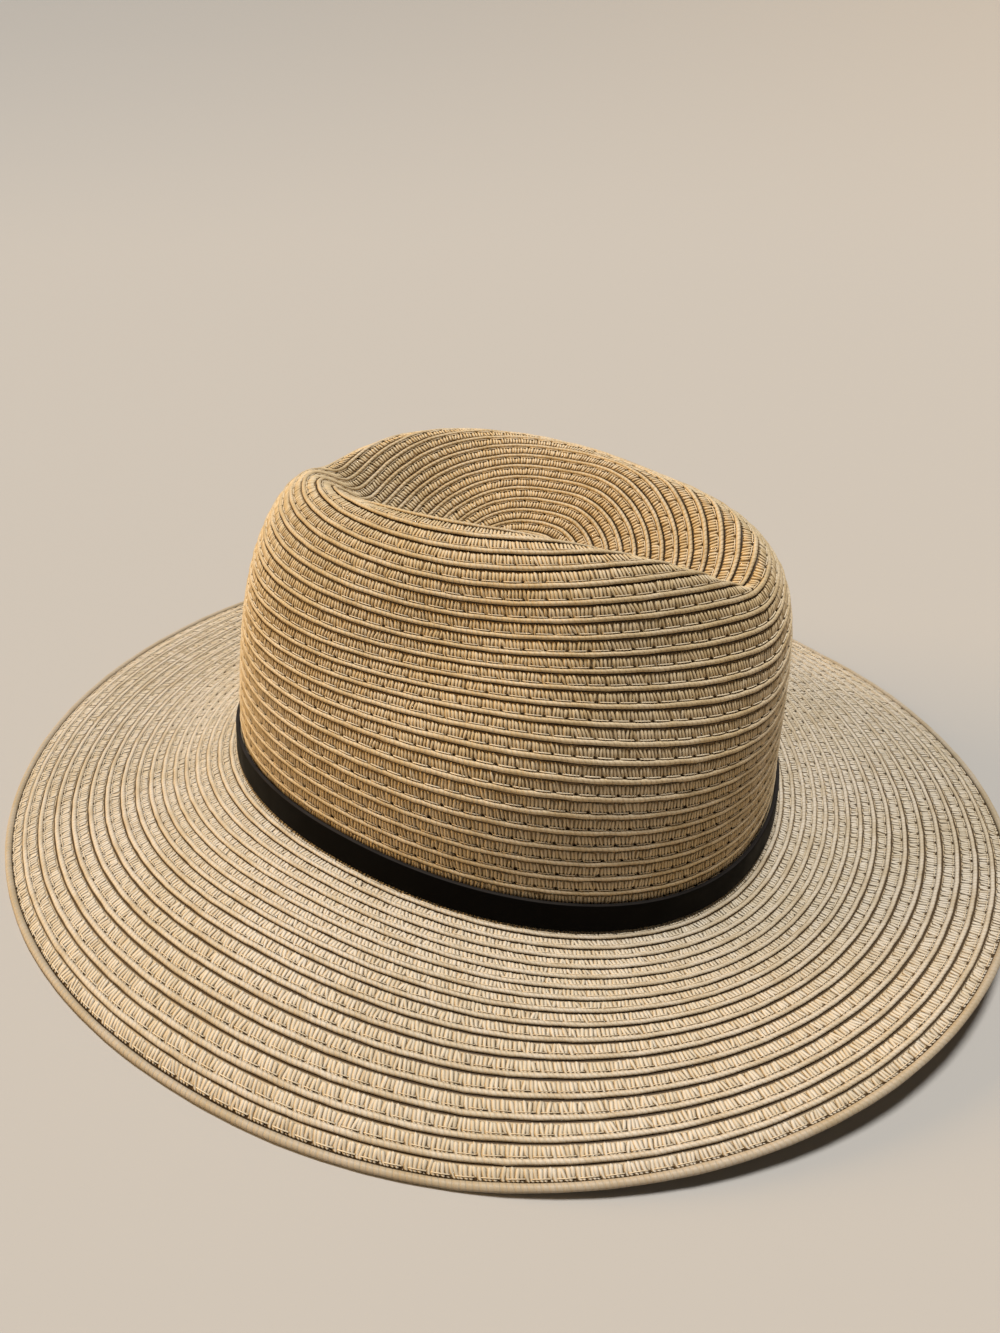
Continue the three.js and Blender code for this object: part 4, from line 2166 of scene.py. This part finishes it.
BRIM_FINISHES = BraidFinishes(
    slot="straw_brim",
    # Painted shade: the wall under the brim's braid is painted darker than its straw, near black
    # under the cords.
    gap=StrawFinish(
        "straw_brim_gap_painted_shade", pale=(0.5, 0.39, 0.25), warm=(0.45, 0.34, 0.2),
        dark=(0.06, 0.036, 0.016),
    ),
    cords=StrawFinish(
        "straw_cords", pale=(0.51, 0.435, 0.33), warm=(0.45, 0.37, 0.25), turns=0.6, grain=0.7,
        along=1.6, across=1,
    ),
    loops=StrawFinish("straw_loops", grain=0.5, across=2.2),
)
# Painted shade: the edge cord is the brim's straw, painted darker for the shade on the rolled edge.
EDGE_FINISH = StrawFinish(
    "straw_edge", pale=(0.37, 0.305, 0.22), warm=(0.325, 0.26, 0.165), turns=0.6, grain=0.7,
    along=1.6, across=1,
)
THREAD_FINISH = StrawFinish("straw_thread", pale=(0.62, 0.51, 0.35), warm=(0.56, 0.44, 0.28))


@dataclass
class Hat:
    """The whole hat: its form, its braid, its edge and its band, with their finishes."""

    form: HatForm
    spacing: RowSpacing
    wardrobe: Wardrobe

    def build(self) -> None:
        """Builds and dresses every piece and fixes it to the frame."""
        thread = self.wardrobe.straw(THREAD_FINISH)
        under = self.wardrobe.underside(StrawFinish("straw_underside"))
        for braid, finishes in ((self.crown(), CROWN_FINISHES), (self.brim(), BRIM_FINISHES)):
            braid.build()
            self.dress(braid, finishes, thread, under)
            for piece in braid.pieces:
                self.fix(piece, finishes.slot)
            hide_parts(braid.region.value)
        edge = BrimEdge(self.form).build()
        edge.data.materials.append(self.wardrobe.straw(EDGE_FINISH))
        self.fix(edge, "straw_edge")
        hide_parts("brim_edge")
        band = LeatherBand(self.form).build()
        band.data.materials.append(self.wardrobe.leather(LeatherFinish()))
        self.fix(band, "leather")
        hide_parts("leather_band")

    def crown(self) -> Braid:
        """Plans the crown's braid.

        Returns:
            The braid, not yet built.
        """
        return Braid(
            Region.CROWN, crown_sheet(self.form, self.spacing), rows=range(1, 35),
            cord_rows=range(1, 35), wall=WallShape(rows=(0.5, 36.4), columns=200), seed=11,
        )

    def brim(self) -> Braid:
        """Plans the brim's braid, which is laid more loosely than the crown's.

        Returns:
            The braid, not yet built.
        """
        return Braid(
            Region.BRIM, brim_sheet(self.form, self.spacing), rows=range(0, 17),
            cord_rows=range(0, 16), wall=WallShape(rows=(-0.4, 16.9), columns=300), seed=23,
            loop_pitch=1.15, play=LoopPlay(tangle=0.12),
            loop=LoopShape(width=1.5, foot=0.245, waist=0.8, crest=0.17, sink=0.05),
            cord=CordShape(place=0.812, radius=0.76), thread=ThreadShape(place=0.585),
        )

    def dress(self, braid: Braid, finishes: BraidFinishes, thread: bpy.types.Material,
              under: bpy.types.Material) -> None:
        """Gives a braid's pieces their materials.

        Args:
            braid: The braid.
            finishes: The finishes of its wall, cords and loops.
            thread: The material of its thread.
            under: The material of the inner face of its wall.
        """
        wall, cords, *loops, stitches = braid.pieces
        wall.data.materials[0] = self.wardrobe.gap(finishes.gap)
        wall.data.materials[1] = under
        cords.data.materials.append(self.wardrobe.straw(finishes.cords))
        loop = self.wardrobe.straw(finishes.loops)
        for piece in loops:
            piece.data.materials.append(loop)
        stitches.data.materials.append(thread)

    @staticmethod
    def fix(piece: bpy.types.Object, slot_name: str) -> None:
        """Rides a piece on the frame and logs the slot that its finish comes from.

        Args:
            piece: The piece.
            slot_name: The slot.
        """
        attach(piece, "root")
        log.info("%s rides on root, slot %s", piece.name, slot_name)


def hat_form() -> HatForm:
    """Takes the form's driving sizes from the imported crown.

    Returns:
        The form.
    """
    low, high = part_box("crown")
    length, width = high.y - low.y, high.x - low.x
    return HatForm(half_length=length / 2 / MM, half_width=width / 2 / MM)


def main() -> None:
    """Builds the hat and the studio."""
    logging.basicConfig(level=logging.INFO, format="%(name)s: %(message)s")
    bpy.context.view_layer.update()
    wardrobe = Wardrobe(Effects())
    Hat(hat_form(), RowSpacing(), wardrobe).build()
    Studio().build(wardrobe)
    bpy.context.scene.view_settings.view_transform = "Standard"


if __name__ == "__main__":
    main()
